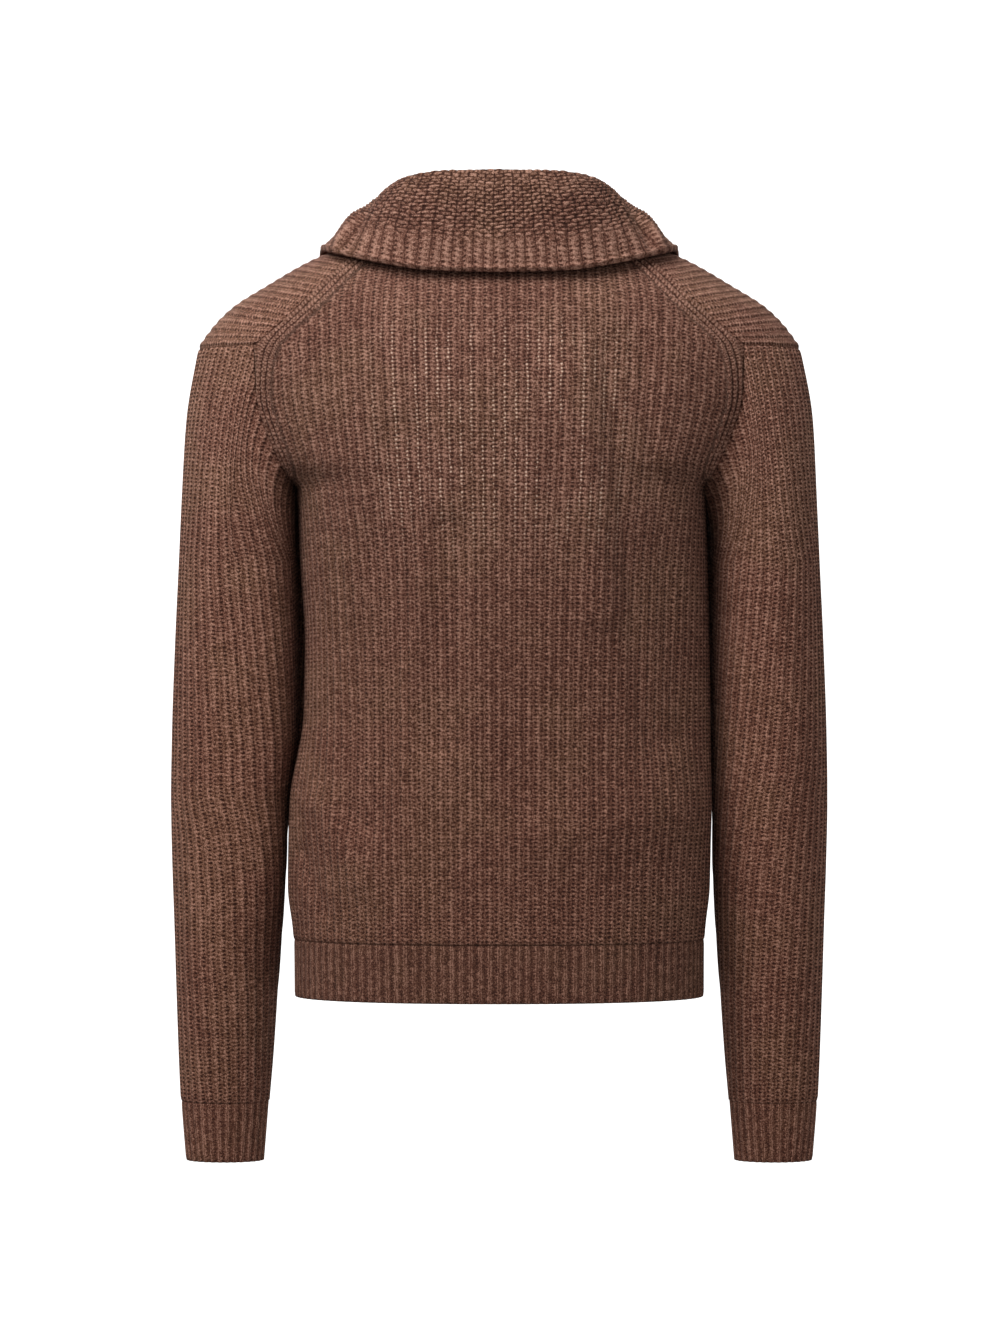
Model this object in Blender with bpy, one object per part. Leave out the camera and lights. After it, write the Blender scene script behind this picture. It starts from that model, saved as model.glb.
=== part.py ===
"""Shawl collar cardigan in chunky half-cardigan rib, in its worn, hollow form.

Metres, +Z up, front towards -Y, the wearer's left towards +X. The origin is where the
shoulders carry it, level with the neck point. Each knitted piece is a closed wall whose
ribs are raised on the face that shows; neighbours share one seam line and keep a gap.
"""
import math
import bpy
import numpy as np

WALL = 0.003            # knitted wall
RIB_RISE = 0.0012       # height of a rib over the valley beside it
EDGE_RISE = 0.5         # share of that rise left where the ribs meet an edge
SEAM_INSET = 0.00022    # each piece stops this far short of its seam line
CREASE_TURN = 1.2       # how far the wall turns down where sleeve and body face each other
PLAIN_STEP = 6          # the plain inside keeps one column in this many

HEAD_Z = -0.105         # straight sleeve-head seam
UNDERARM_Z = -0.226
BREAK_Z = -0.270        # where the V ends and the bands begin
HEM_SEAM_Z = -0.6155
HEM_Z = -0.6655
NECK_TOP_Z = -0.004     # top end of the shoulder seam, on the back
NECK_DROP_Z = -0.022    # neck seam at the centre of the back
NECK_HALF = 0.093       # half width of the back neck seam
NECK_POINT = 0.098      # half width where the neck seam crosses the shoulder line
BAND_HALF = 0.0175      # half width of the overlapping button bands
CORNER_X = 0.2100       # back corner, where shoulder, armhole and head seam meet
LAP_RISE = 0.0050       # free edge of the upper band stands out this far
LAP_SINK = 0.0048       # free edge of the lower band lies in this far

# Level sections of the body: half widths on the wearer's left and right, depths of back
# and front, and the roundness of the outline (2 is an ellipse).
LEVEL_COLUMNS = ("height", "left", "right", "back", "front", "round")
LEVELS = (
    (-0.6655, 0.1770, 0.1770, 0.112, 0.113, 2.25),
    (-0.6155, 0.1775, 0.1772, 0.113, 0.115, 2.25),
    (-0.5700, 0.1822, 0.1815, 0.115, 0.118, 2.25),
    (-0.5000, 0.1810, 0.1826, 0.117, 0.121, 2.25),
    (-0.4200, 0.1685, 0.1822, 0.120, 0.123, 2.25),
    (-0.3600, 0.1675, 0.1812, 0.124, 0.124, 2.28),
    (-0.2900, 0.1718, 0.1798, 0.129, 0.123, 2.35),
    (-0.2260, 0.1748, 0.1782, 0.132, 0.118, 2.55),
    (-0.2050, 0.2000, 0.2020, 0.132, 0.115, 2.40),
    (-0.1830, 0.2220, 0.2230, 0.132, 0.112, 2.20),
    (-0.1500, 0.2450, 0.2450, 0.130, 0.107, 2.05),
    (-0.1050, 0.2604, 0.2604, 0.121, 0.097, 2.00),
    (-0.0905, 0.2523, 0.2523, 0.117, 0.093, 2.00),
    (-0.0696, 0.2330, 0.2330, 0.110, 0.086, 2.00),
    (-0.0487, 0.2005, 0.2005, 0.099, 0.077, 2.00),
    (-0.0278, 0.1640, 0.1640, 0.083, 0.064, 2.00),
    (-0.0120, 0.1260, 0.1260, 0.070, 0.053, 2.00),
    (0.0000, 0.0980, 0.0980, 0.060, 0.044, 2.00),
)
# Where the edge of the body panels runs from the corner down to the underarm.
ARMHOLE_COLUMNS = ("height", "half_width")
ARMHOLE = (
    (-0.226, 0.1755), (-0.205, 0.1860), (-0.183, 0.1965), (-0.148, 0.2075), (-0.105, CORNER_X),
)
# The shoulder seam on the back, from the corner up to the neck.
SHOULDER_COLUMNS = ("height", "half_width")
SHOULDER = ((HEAD_Z, CORNER_X), (-0.079, 0.1785), (-0.0345, 0.1335), (NECK_TOP_Z, NECK_HALF))

# Level sections of the sleeve: outer edge, inner edge on either side, middle, half depth.
ARM_COLUMNS = ("height", "outer", "inner_left", "inner_right", "middle", "half_depth")
ARM = (
    (-0.8125, 0.2742, 0.2068, 0.2066, -0.039, 0.027),
    (-0.7595, 0.2780, 0.2025, 0.2022, -0.036, 0.036),
    (-0.6600, 0.2815, 0.1950, 0.1945, -0.031, 0.050),
    (-0.6000, 0.2830, 0.1905, 0.1902, -0.027, 0.056),
    (-0.5480, 0.2845, 0.1873, 0.1878, -0.024, 0.060),
    (-0.5000, 0.2853, 0.1858, 0.1874, -0.021, 0.062),
    (-0.4400, 0.2843, 0.1790, 0.1876, -0.018, 0.064),
    (-0.3600, 0.2812, 0.1778, 0.1876, -0.013, 0.067),
    (-0.2900, 0.2776, 0.1784, 0.1872, -0.008, 0.070),
    (-0.2260, 0.2744, 0.1776, 0.1834, -0.004, 0.073),
    (-0.1650, 0.2706, 0.1660, 0.1690, -0.002, 0.075),
    (-0.1050, 0.2604, 0.1480, 0.1480, 0.000, 0.076),
)

# Turn of the first row below the seam, from the top of the head (0) to the underarm (1).
SWEEP_COLUMNS = ("along", "turn")
SWEEP = ((0.0, 0.0), (0.5, 83.0), (0.625, 96.0), (0.75, 114.0), (0.875, 141.0), (1.0, 180.0))

# Collar stations along the neck seam: the fold line, the free edge (both on the hidden
# face), the way the fold faces (degrees from +X towards +Y) and how far the fall bows out.
COLLAR_COLUMNS = ("along", "fold_x", "fold_y", "fold_z", "edge_x", "edge_y", "edge_z",
                  "facing", "bulge")
COLLAR = (
    (0.00, 0.0000, 0.0860, 0.0410, 0.0000, 0.1060, -0.0455, 90, 0.004),
    (0.12, 0.0450, 0.0820, 0.0405, 0.0580, 0.1010, -0.0435, 76, 0.004),
    (0.21, 0.0780, 0.0600, 0.0370, 0.1080, 0.0830, -0.0345, 48, 0.003),
    (0.28, 0.0880, 0.0300, 0.0335, 0.1460, 0.0450, -0.0235, 22, 0.002),
    (0.34, 0.0910, -0.0050, 0.0300, 0.1545, -0.0080, -0.0190, -6, 0.000),
    (0.375, 0.0885, -0.0260, 0.0200, 0.1560, -0.0330, -0.0275, -25, 0.002),
    (0.41, 0.0820, -0.0500, 0.0030, 0.1560, -0.0620, -0.0560, -45, 0.006),
    (0.50, 0.0620, -0.0890, -0.0500, 0.1460, -0.0880, -0.0980, -76, 0.006),
    (0.65, 0.0390, -0.1130, -0.1200, 0.1180, -0.1060, -0.1560, -86, 0.005),
    (0.80, 0.0215, -0.1250, -0.1850, 0.0860, -0.1180, -0.2120, -90, 0.004),
    (0.92, 0.0100, -0.1290, -0.2370, 0.0500, -0.1285, -0.2500, -90, 0.003),
    (1.00, 0.0062, -0.1295, -0.2660, 0.0340, -0.1310, -0.2650, -90, 0.001),
)
FOLD_RADIUS = 0.0042
FOLD_REACH = 0.010
FOLD_SHARE = 0.4
COLLAR_ROWS = (0.0, 0.22, 0.40, 0.455, 0.50, 0.56, 0.68, 0.84, 1.0)

# Half rib widths, level by level, on the body.
HALF_RIB_COLUMNS = ("height", "half_rib")
HALF_RIB = (
    (-0.6655, 0.0040), (-0.50, 0.0041), (-0.30, 0.0043), (-0.20, 0.0046), (-0.105, 0.0048),
)
COLLAR_HALF_RIB = 0.0046
BAND_HALF_RIB = 0.0043

BACK_LEVELS = (HEM_SEAM_Z, -0.54, -0.46, -0.38, -0.30, UNDERARM_Z)
ARMHOLE_LEVELS = (-0.196, -0.166, -0.136, HEAD_Z)
SHOULDER_LEVELS = (-0.0797, -0.0545, -0.0293, NECK_TOP_Z)
FRONT_EDGE_LEVELS = (HEM_SEAM_Z, -0.53, -0.445, -0.36, BREAK_Z, -0.216)
FRONT_V_LEVELS = (-0.187, -0.160, -0.132, HEAD_Z)
HEM_LEVELS = (HEM_Z, HEM_SEAM_Z)
CAP_STEPS = 3           # rows from the chest to the shoulder line, and on to the back seam
ARMHOLE_COLUMNS_EACH = 6
HEAD_COLUMNS_EACH = 8
SLEEVE_LEVELS = ((-0.290, 96), (-0.380, 88), (-0.475, 80), (-0.570, 72), (-0.665, 64),
                 (-0.7595, 60))
CUFF_LEVELS = ((-0.7595, 60), (-0.8125, 60))

BUTTON_RADIUS = 0.0105
BUTTON_THICK = 0.0042
BUTTON_HEIGHTS = (-0.292, -0.381, -0.470, -0.559, -0.643)
BUTTON_SEGMENTS = 16
BUTTON_CLEAR = 0.0004

KNIT = (0.105, 0.055, 0.040)
HORN = (0.030, 0.018, 0.012)


# ---------------------------------------------------------------- tables and curves
def column(table, names, name):
    return np.array([row[names.index(name)] for row in table], float)


def smooth(xs, ys, x):
    """Cubic through the points, with slopes held back where it would overshoot."""
    order = np.argsort(xs)
    xs, ys = xs[order], ys[order]
    steps = np.diff(xs)
    rise = np.diff(ys) / steps
    slope = np.zeros_like(ys)
    same = rise[1:] * rise[:-1] > 0
    harmonic = 2.0 * rise[1:] * rise[:-1] / np.where(same, rise[1:] + rise[:-1], 1.0)
    slope[1:-1] = np.where(same, harmonic, 0.0)
    slope[0], slope[-1] = rise[0], rise[-1]
    x = np.clip(x, xs[0], xs[-1])
    k = np.clip(np.searchsorted(xs, x) - 1, 0, len(xs) - 2)
    t = (x - xs[k]) / steps[k]
    h = steps[k]
    return ((1 + 2 * t) * (1 - t) ** 2 * ys[k] + t * (1 - t) ** 2 * h * slope[k]
            + t * t * (3 - 2 * t) * ys[k + 1] - t * t * (1 - t) * h * slope[k + 1])


def read(table, names, name, x):
    return smooth(column(table, names, names[0]), column(table, names, name), x)


def along(points):
    """Running length of a polyline."""
    return np.concatenate([[0.0], np.cumsum(np.linalg.norm(np.diff(points, axis=0), axis=1))])


def resample(points, where):
    length = along(points)
    return np.stack([np.interp(where, length, points[:, k]) for k in range(3)], axis=1)


def unit(v):
    return v / np.maximum(np.linalg.norm(v, axis=-1, keepdims=True), 1e-12)


# ---------------------------------------------------------------- the body's surface
def body_point(height, angle, side):
    """Angle 0 is the side, a quarter turn up is the back and down is the front."""
    width = read(LEVELS, LEVEL_COLUMNS, "left" if side > 0 else "right", height)
    back = read(LEVELS, LEVEL_COLUMNS, "back", height)
    front = read(LEVELS, LEVEL_COLUMNS, "front", height)
    power = 2.0 / read(LEVELS, LEVEL_COLUMNS, "round", height)
    cos, sin = np.cos(angle), np.sin(angle)
    x = side * width * np.sign(cos) * np.abs(cos) ** power
    y = np.where(sin > 0, back, front) * np.sign(sin) * np.abs(sin) ** power
    return np.stack(np.broadcast_arrays(x, y, height), axis=-1)


def angle_at(x, height, side):
    width = read(LEVELS, LEVEL_COLUMNS, "left" if side > 0 else "right", height)
    power = read(LEVELS, LEVEL_COLUMNS, "round", height) / 2.0
    return np.arccos(np.clip(x / width, -1.0, 1.0) ** power)


def front_edge_x(height):
    return np.interp(height, (BREAK_Z, 0.0), (BAND_HALF, NECK_POINT))


def side_angle(height, side, back):
    """Angle of the panels' outer edge: side seam, armhole, then shoulder seam."""
    if height <= UNDERARM_Z + 1e-6:
        return 0.0
    if height <= HEAD_Z + 1e-6:
        x = read(ARMHOLE, ARMHOLE_COLUMNS, "half_width", height)
    else:
        x = read(SHOULDER, SHOULDER_COLUMNS, "half_width", height)
    return float(angle_at(x, height, side)) * (1 if back else -1)


def half_rib(height):
    return float(read(HALF_RIB, HALF_RIB_COLUMNS, "half_rib", height))


# ---------------------------------------------------------------- rows and walls
class Sheet:
    """A stack of rows. A row lists (place, id); the place counts half ribs across it."""

    def __init__(self, closed=False):
        self.points, self.rise, self.rows, self.kept = [], [], [], set()
        self.closed = closed

    def row(self, places, points, rise, kept):
        ids = []
        for point, height, keep in zip(points, rise, kept):
            ids.append(len(self.points))
            self.points.append(np.array(point, float))
            self.rise.append(float(height))
            if keep:
                self.kept.add(ids[-1])
        if self.closed:
            ids.append(ids[0])
        self.rows.append(list(zip(places, ids)))

    def faces(self, plain=False):
        rows = self.rows
        if plain:
            rows = [[v for v in row if v[1] in self.kept] for row in rows]
        out = []
        for low, high in zip(rows, rows[1:]):
            i = j = 0
            while i < len(low) - 1 or j < len(high) - 1:
                last_low, last_high = i == len(low) - 1, j == len(high) - 1
                if last_high or (not last_low and low[i][0] + low[i + 1][0]
                                 <= high[j][0] + high[j + 1][0]):
                    out.append((low[i][1], low[i + 1][1], high[j][1]))
                    i += 1
                else:
                    out.append((low[i][1], high[j + 1][1], high[j][1]))
                    j += 1
        return out


def loops(faces):
    """Boundary loops, walked with the surface on their left."""
    edges = {(f[k], f[(k + 1) % 3]) for f in faces for k in range(3)}
    after = {a: b for a, b in edges if (b, a) not in edges}
    found = []
    while after:
        start = min(after)
        loop = [start]
        while after[loop[-1]] != start:
            loop.append(after[loop[-1]])
        for a in loop:
            del after[a]
        found.append(loop)
    return found


def key(point):
    return tuple(int(round(c * 20000)) for c in point)


def vertex_normals(points, faces):
    normals = np.zeros_like(points)
    f = np.array(faces)
    across = np.cross(points[f[:, 1]] - points[f[:, 0]], points[f[:, 2]] - points[f[:, 0]])
    for k in range(3):
        np.add.at(normals, f[:, k], across)
    return unit(normals)


class Piece:
    def __init__(self, name, sheet, flip=False, plain_off=-WALL, rib_off=0.0, rib_sign=1.0):
        self.name = name
        self.points = np.array(sheet.points)
        self.rise = np.array(sheet.rise)
        turn = (lambda f: (f[0], f[2], f[1])) if flip else (lambda f: f)
        self.fine = [turn(f) for f in sheet.faces()]
        self.plain = [turn(f) for f in sheet.faces(plain=True)]
        self.normals = vertex_normals(self.points, self.fine)
        self.loops = loops(self.fine)
        self.third = {(f[k], f[(k + 1) % 3]): f[(k + 2) % 3] for f in self.fine for k in range(3)}
        self.plain_off, self.rib_off, self.rib_sign = plain_off, rib_off, rib_sign

    def build(self, shared, owners):
        """Walls between the ribbed face and the plain face, closed round every edge."""
        points, normals = self.points.copy(), self.normals.copy()
        rise = self.rise.copy()
        for v in [v for loop in self.loops for v in loop]:
            normals[v] = shared[key(points[v])]
            rise[v] *= EDGE_RISE
        inset = np.zeros_like(points)
        for loop in self.loops:
            for k, v in enumerate(loop):
                inward = [self.inward(points, normals[v], loop[k - 1], v),
                          self.inward(points, normals[v], v, loop[(k + 1) % len(loop)])]
                spread = max(1.0 + float(inward[0] @ inward[1]), 0.25)
                inset[v] = SEAM_INSET * (inward[0] + inward[1]) / spread
        ribbed = points + inset + normals * (self.rib_off
                                             + self.rib_sign * RIB_RISE * rise)[:, None]
        plain = points + inset + normals * self.plain_off
        self.straighten(ribbed, plain, points, owners)

        plain_ids = sorted({v for f in self.plain for v in f})
        second = {v: len(points) + k for k, v in enumerate(plain_ids)}
        verts = np.vstack([ribbed, plain[plain_ids]])
        faces = list(self.fine) + [(second[a], second[c], second[b]) for a, b, c in self.plain]
        for loop in self.loops:
            faces += self.rim(loop, second)
        if self.plain_off > self.rib_off:
            faces = [(a, c, b) for a, b, c in faces]
        used = sorted({v for f in faces for v in f})
        place = {v: k for k, v in enumerate(used)}
        return verts[used], [tuple(place[v] for v in f) for f in faces]

    def inward(self, points, normal, a, b):
        """From the edge a-b into the piece, square to the edge."""
        run = unit(points[b] - points[a])
        across = np.cross(normal, run)
        if np.linalg.norm(across) < 0.5:          # the wall runs along the edge here
            across = points[self.third[(a, b)]] - points[a]
            across = across - run * (across @ run)
        return unit(across)

    def rim(self, loop, second):
        """Faces across the wall's edge, fanned to the nearer of two plain vertices."""
        start = next(k for k, v in enumerate(loop) if v in second)
        ring = loop[start:] + loop[:start + 1]
        marks = [k for k, v in enumerate(ring) if v in second]
        faces = []
        for a, b in zip(marks, marks[1:]):
            near, far = second[ring[a]], second[ring[b]]
            middle = (a + b) // 2
            faces += [(ring[k + 1], ring[k], near) for k in range(a, middle)]
            faces.append((ring[middle], near, far))
            faces += [(ring[k + 1], ring[k], far) for k in range(middle, b)]
        return faces

    def straighten(self, ribbed, plain, points, owners):
        """Vertices between two shared ones lie on the straight seam that the neighbour has."""
        for loop in self.loops:
            mates = [owners[key(points[v])] - {self.name} for v in loop]
            marks = [k for k, m in enumerate(mates) if m]
            for a, b in zip(marks, marks[1:] + [marks[0] + len(loop)] if marks else []):
                between = [loop[k % len(loop)] for k in range(a + 1, b)]
                if not between or not mates[a % len(loop)] & mates[b % len(loop)]:
                    continue
                first, last = loop[a % len(loop)], loop[b % len(loop)]
                run = along(points[[first] + between + [last]])
                for v, t in zip(between, run[1:-1] / run[-1]):
                    for layer in (ribbed, plain):
                        layer[v] = layer[first] * (1 - t) + layer[last] * t


def across_row(path, first, last_place, pitch_places, flat=False):
    """Half-rib places along a path that starts at `first` and ends at `last_place`."""
    places = [first] + list(pitch_places) + [last_place]
    share = (np.array(places) - first) / (last_place - first)
    points = resample(path, share * along(path)[-1])
    rise = [0.0 if flat or k in (0, len(places) - 1) else float(p % 2 == 0)
            for k, p in enumerate(places)]
    kept = [k in (0, len(places) - 1) or p % PLAIN_STEP == 0 for k, p in enumerate(places)]
    return places, points, rise, kept


def whole_between(first, last):
    return [i for i in range(math.ceil(first + 0.6), math.floor(last - 0.6) + 1)]


SAMPLES = 80


def back_path(level, side):
    """From the centre of the back to the edge on one side, along one row."""
    end = side_angle(level, side, True)
    angle = np.linspace(math.pi / 2, end, SAMPLES)
    height = np.full(SAMPLES, float(level))
    base = SHOULDER_LEVELS[0]
    if level > base:
        share = (level - base) / (NECK_TOP_Z - base)
        for _ in range(4):
            x = np.abs(body_point(height, angle, side)[:, 0])
            neck = NECK_TOP_Z - (NECK_TOP_Z - NECK_DROP_Z) * np.sqrt(
                np.clip(1 - (x / NECK_HALF) ** 2, 0, 1))
            height = base + share * (neck - base)
        height[-1] = level
    return body_point(height, angle, side)


def front_path(left_level, right_level, side):
    """From the front edge to the side seam or armhole, along one row."""
    start = -float(angle_at(front_edge_x(left_level), left_level, side))
    end = side_angle(right_level, side, False)
    angle = np.linspace(start, end, SAMPLES)
    height = np.linspace(left_level, right_level, SAMPLES)
    return body_point(height, angle, side)


def half_row(level, side):
    path = back_path(level, side)
    return path, along(path)[-1] / half_rib(max(level, HEM_Z))


def panel_back(levels):
    sheet = Sheet()
    for level in levels:
        (left, left_end), (right, right_end) = half_row(level, 1), half_row(level, -1)
        inner_left = [i for i in whole_between(0.0, left_end)]
        inner_right = [-i for i in whole_between(0.0, right_end)][::-1]
        places = [-right_end] + inner_right + [0] + inner_left + [left_end]
        points, rise, kept = [], [], []
        for k, p in enumerate(places):
            path, end = (left, left_end) if p >= 0 else (right, right_end)
            points.append(resample(path, [abs(p) / end * along(path)[-1]])[0])
            outer = k in (0, len(places) - 1)
            rise.append(0.0 if outer or level == NECK_TOP_Z else float(p % 2 == 0))
            kept.append(outer or p % PLAIN_STEP == 0)
        sheet.row(places, points, rise, kept)
    return sheet


def front_rows(pairs, side, sheet):
    for left_level, right_level in pairs:
        path = front_path(left_level, right_level, side)
        pitch = half_rib(right_level)
        first = abs(path[0][0]) / pitch
        last = first + along(path)[-1] / pitch
        sheet.row(*across_row(path, first, last, whole_between(first, last)))
    return first, last


def panel_front(side):
    sheet = Sheet()
    lower = list(zip(FRONT_EDGE_LEVELS, BACK_LEVELS)) + list(zip(FRONT_V_LEVELS, ARMHOLE_LEVELS))
    first, last = front_rows(lower, side, sheet)
    inner = whole_between(first, last)
    start_edge = -float(angle_at(front_edge_x(HEAD_Z), HEAD_Z, side))
    start_arm = side_angle(HEAD_Z, side, False)
    for step in range(1, CAP_STEPS + 1):         # up the chest to the shoulder line
        share = step / CAP_STEPS
        left_height = HEAD_Z * (1 - share)
        left = -float(angle_at(front_edge_x(left_height), left_height, side)) if share < 1 else 0.0
        angle = np.linspace(left, start_arm * (1 - share), SAMPLES)
        height = np.linspace(left_height, HEAD_Z, SAMPLES)
        sheet.row(*across_row(body_point(height, angle, side), first, last, inner))
    for step in range(1, CAP_STEPS + 1):         # over it and down to the seam on the back
        share = step / CAP_STEPS
        height = np.linspace(NECK_TOP_Z * share, HEAD_Z, SAMPLES)
        seam = np.array([side_angle(min(h, NECK_TOP_Z), side, True) for h in height])
        seam[-1] = side_angle(HEAD_Z, side, True)
        path = body_point(height, seam * share, side)
        places, points, rise, kept = across_row(path, first, last, inner, flat=step == CAP_STEPS)
        if step == CAP_STEPS:
            points, kept = onto_shoulder_seam(points, kept, side)
        sheet.row(places, points, rise, kept)
    return sheet


def onto_shoulder_seam(points, kept, side):
    """Puts the seam's own points on the nearest columns, and the rest straight between."""
    levels = (NECK_TOP_Z,) + SHOULDER_LEVELS[-2::-1] + (HEAD_Z,)
    marks = [body_point(np.float64(z), side_angle(z, side, True), side) for z in levels]
    nearest = [int(np.argmin(np.linalg.norm(points - m, axis=1))) for m in marks]
    nearest[0], nearest[-1] = 0, len(points) - 1
    out = points.copy()
    for (a, b), (m, n) in zip(zip(nearest, nearest[1:]), zip(marks, marks[1:])):
        for k in range(a, b + 1):
            t = (k - a) / (b - a)
            out[k] = m * (1 - t) + n * t
    return out, [k in nearest for k in range(len(points))]


# ---------------------------------------------------------------- sleeves and cuffs
def arm_point(height, turn, side):
    """Turn 0 is the outermost line, half a turn is the underarm."""
    outer = read(ARM, ARM_COLUMNS, "outer", height)
    inner = read(ARM, ARM_COLUMNS, "inner_left" if side > 0 else "inner_right", height)
    depth = read(ARM, ARM_COLUMNS, "half_depth", height)
    middle = read(ARM, ARM_COLUMNS, "middle", height)
    x = (outer + inner) / 2 + (outer - inner) / 2 * np.cos(turn)
    y = middle + depth * np.sin(turn)
    return np.stack(np.broadcast_arrays(side * x, y, height), axis=-1)


def even_turns(height, count, side):
    """Turns that cut a level section of the sleeve into equal lengths, from the underarm."""
    turn = np.linspace(-math.pi, math.pi, 361)
    length = along(arm_point(np.full(361, height), turn, side))
    return np.interp(np.linspace(0, length[-1], count + 1), length, turn)


def armhole_loop(back, front, side):
    """Shared seam points from the underarm up the front, over the head and down the back."""
    pick = -1
    lower = len(BACK_LEVELS) - 1
    arm = len(ARMHOLE_LEVELS)
    front_side = [front.points[front.rows[k][pick][1]] for k in range(lower, len(front.rows))]
    back_end = -1 if side > 0 else 0
    back_side = [back.points[back.rows[k][back_end][1]] for k in range(lower, lower + arm + 1)]
    counts = ([ARMHOLE_COLUMNS_EACH] * arm + [HEAD_COLUMNS_EACH] * (2 * CAP_STEPS)
              + [ARMHOLE_COLUMNS_EACH] * arm)
    return front_side + back_side[-2::-1], counts


def turn_of(point, side):
    height = point[2]
    outer = read(ARM, ARM_COLUMNS, "outer", height)
    inner = read(ARM, ARM_COLUMNS, "inner_left" if side > 0 else "inner_right", height)
    depth = read(ARM, ARM_COLUMNS, "half_depth", height)
    middle = read(ARM, ARM_COLUMNS, "middle", height)
    return math.atan2((point[1] - middle) / depth,
                      (side * point[0] - (outer + inner) / 2) / ((outer - inner) / 2))


def sleeve(back, front, side):
    seam, counts = armhole_loop(back, front, side)
    top, kept = [], []
    for a, b, count in zip(seam, seam[1:], counts):
        for k in range(count):
            top.append(a + (b - a) * k / count)
            kept.append(k % (count // 2) == 0)
    top = np.array(top)
    total = len(top)
    half = total // 2
    sheet = Sheet(closed=True)
    places = [k - half for k in range(total + 1)]
    sheet.row(places, top, [0.0] * total, kept)
    turns = np.unwrap([turn_of(p, side) for p in top])
    turns += -math.pi - turns[0]
    height = top[:, 2] * 0.6 + SLEEVE_LEVELS[0][0] * 0.4
    drift = top - arm_point(top[:, 2], turns, side)
    spots = np.abs(np.array(places[:-1])) / half
    bent_turn = np.sign(places[:-1]) * np.radians(read(SWEEP, SWEEP_COLUMNS, "turn", spots))
    bent = arm_point(height, bent_turn, side) + drift * 0.25
    rise = [float(p % 2 == 0 and k > 0) for k, p in enumerate(places[:-1])]
    sheet.row(places, bent, rise, [k == 0 or p % (PLAIN_STEP // 2) == 0
                                   for k, p in enumerate(places[:-1])])
    tube_rows(sheet, SLEEVE_LEVELS, side)
    return sheet


def tube_rows(sheet, levels, side):
    for level, count in levels:
        places = [k - count // 2 for k in range(count + 1)]
        points = arm_point(np.full(count, level), even_turns(level, count, side)[:-1], side)
        rise = [float(p % 2 == 0 and k > 0) for k, p in enumerate(places[:-1])]
        kept = [k == 0 or p % PLAIN_STEP == 0 for k, p in enumerate(places[:-1])]
        sheet.row(places, points, rise, kept)


def cuff(side):
    sheet = Sheet(closed=True)
    tube_rows(sheet, CUFF_LEVELS, side)
    return sheet


# ---------------------------------------------------------------- hem bands
def hem_front(side):
    sheet = Sheet()
    front_rows(list(zip(HEM_LEVELS, HEM_LEVELS)), side, sheet)
    return sheet


# ---------------------------------------------------------------- collar and bands
def neck_line(back, front):
    """Seam points from the centre of the back round to the break of the V, left side."""
    row = back.rows[-1]
    back_part = [back.points[i] for p, i in row if i in back.kept and p >= 0]
    cap = len(BACK_LEVELS) + len(ARMHOLE_LEVELS)
    side_part = [front.points[front.rows[k][0][1]] for k in range(len(front.rows) - 2,
                                                                 cap - 1, -1)]
    break_row = FRONT_EDGE_LEVELS.index(BREAK_Z)
    v_part = [front.points[front.rows[k][0][1]] for k in range(cap - 1, break_row - 1, -1)]
    return back_part + side_part + v_part


def collar_stations(line):
    """Fine seam points: an even number of half ribs on every stretch between marks."""
    points, marks = [line[0]], [0]
    for a, b in zip(line, line[1:]):
        count = max(2, 2 * round(float(np.linalg.norm(b - a)) / COLLAR_HALF_RIB / 2))
        points += [a + (b - a) * k / count for k in range(1, count + 1)]
        marks.append(len(points) - 1)
    return np.array(points), marks


def collar_side(points, side):
    """Rows of one half of the collar, from the neck seam over the fold to the free edge."""
    share = along(points) / along(points)[-1]

    def read_at(name):
        return read(COLLAR, COLLAR_COLUMNS, name, share)

    seam = points * (side, 1, 1)
    fold = np.stack([side * read_at("fold_x"), read_at("fold_y"), read_at("fold_z")], axis=1)
    edge = np.stack([side * read_at("edge_x"), read_at("edge_y"), read_at("edge_z")], axis=1)
    facing = np.radians(read_at("facing"))
    out = np.stack([side * np.cos(facing), np.sin(facing), np.zeros_like(facing)], axis=1)
    run = unit(np.gradient(fold, axis=0))
    out = unit(out - run * np.sum(out * run, axis=1, keepdims=True))
    crest = unit(np.cross(run, out)) * side
    stand = np.linalg.norm(fold - seam, axis=1, keepdims=True)
    reach = np.minimum(FOLD_REACH, stand * FOLD_SHARE)
    before = fold - out * FOLD_RADIUS - crest * reach
    after = fold + out * FOLD_RADIUS + unit(edge - fold) * reach
    over = unit(np.cross(run, edge - after)) * side
    middle = (after + edge) / 2 + over * read_at("bulge")[:, None]
    controls = np.stack([seam, (seam + before) / 2, before, fold, after, middle, edge], axis=1)
    return [section_rows(c) for c in controls]


def section_rows(control):
    """Points at fixed shares of one section, on a smooth curve through its control points."""
    length = along(control)
    dense = np.linspace(0, length[-1], 200)
    slopes = np.gradient(control, length, axis=0)
    k = np.clip(np.searchsorted(length, dense) - 1, 0, len(length) - 2)
    h = (length[k + 1] - length[k])[:, None]
    t = ((dense - length[k])[:, None]) / h
    curve = ((1 + 2 * t) * (1 - t) ** 2 * control[k] + t * (1 - t) ** 2 * h * slopes[k]
             + t * t * (3 - 2 * t) * control[k + 1] - t * t * (1 - t) * h * slopes[k + 1])
    fold_at = length[3] / length[-1]
    shares = np.interp(COLLAR_ROWS, (0.0, 0.5, 1.0), (0.0, fold_at, 1.0))
    dense_length = along(curve)
    return resample(curve, shares * dense_length[-1])


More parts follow.
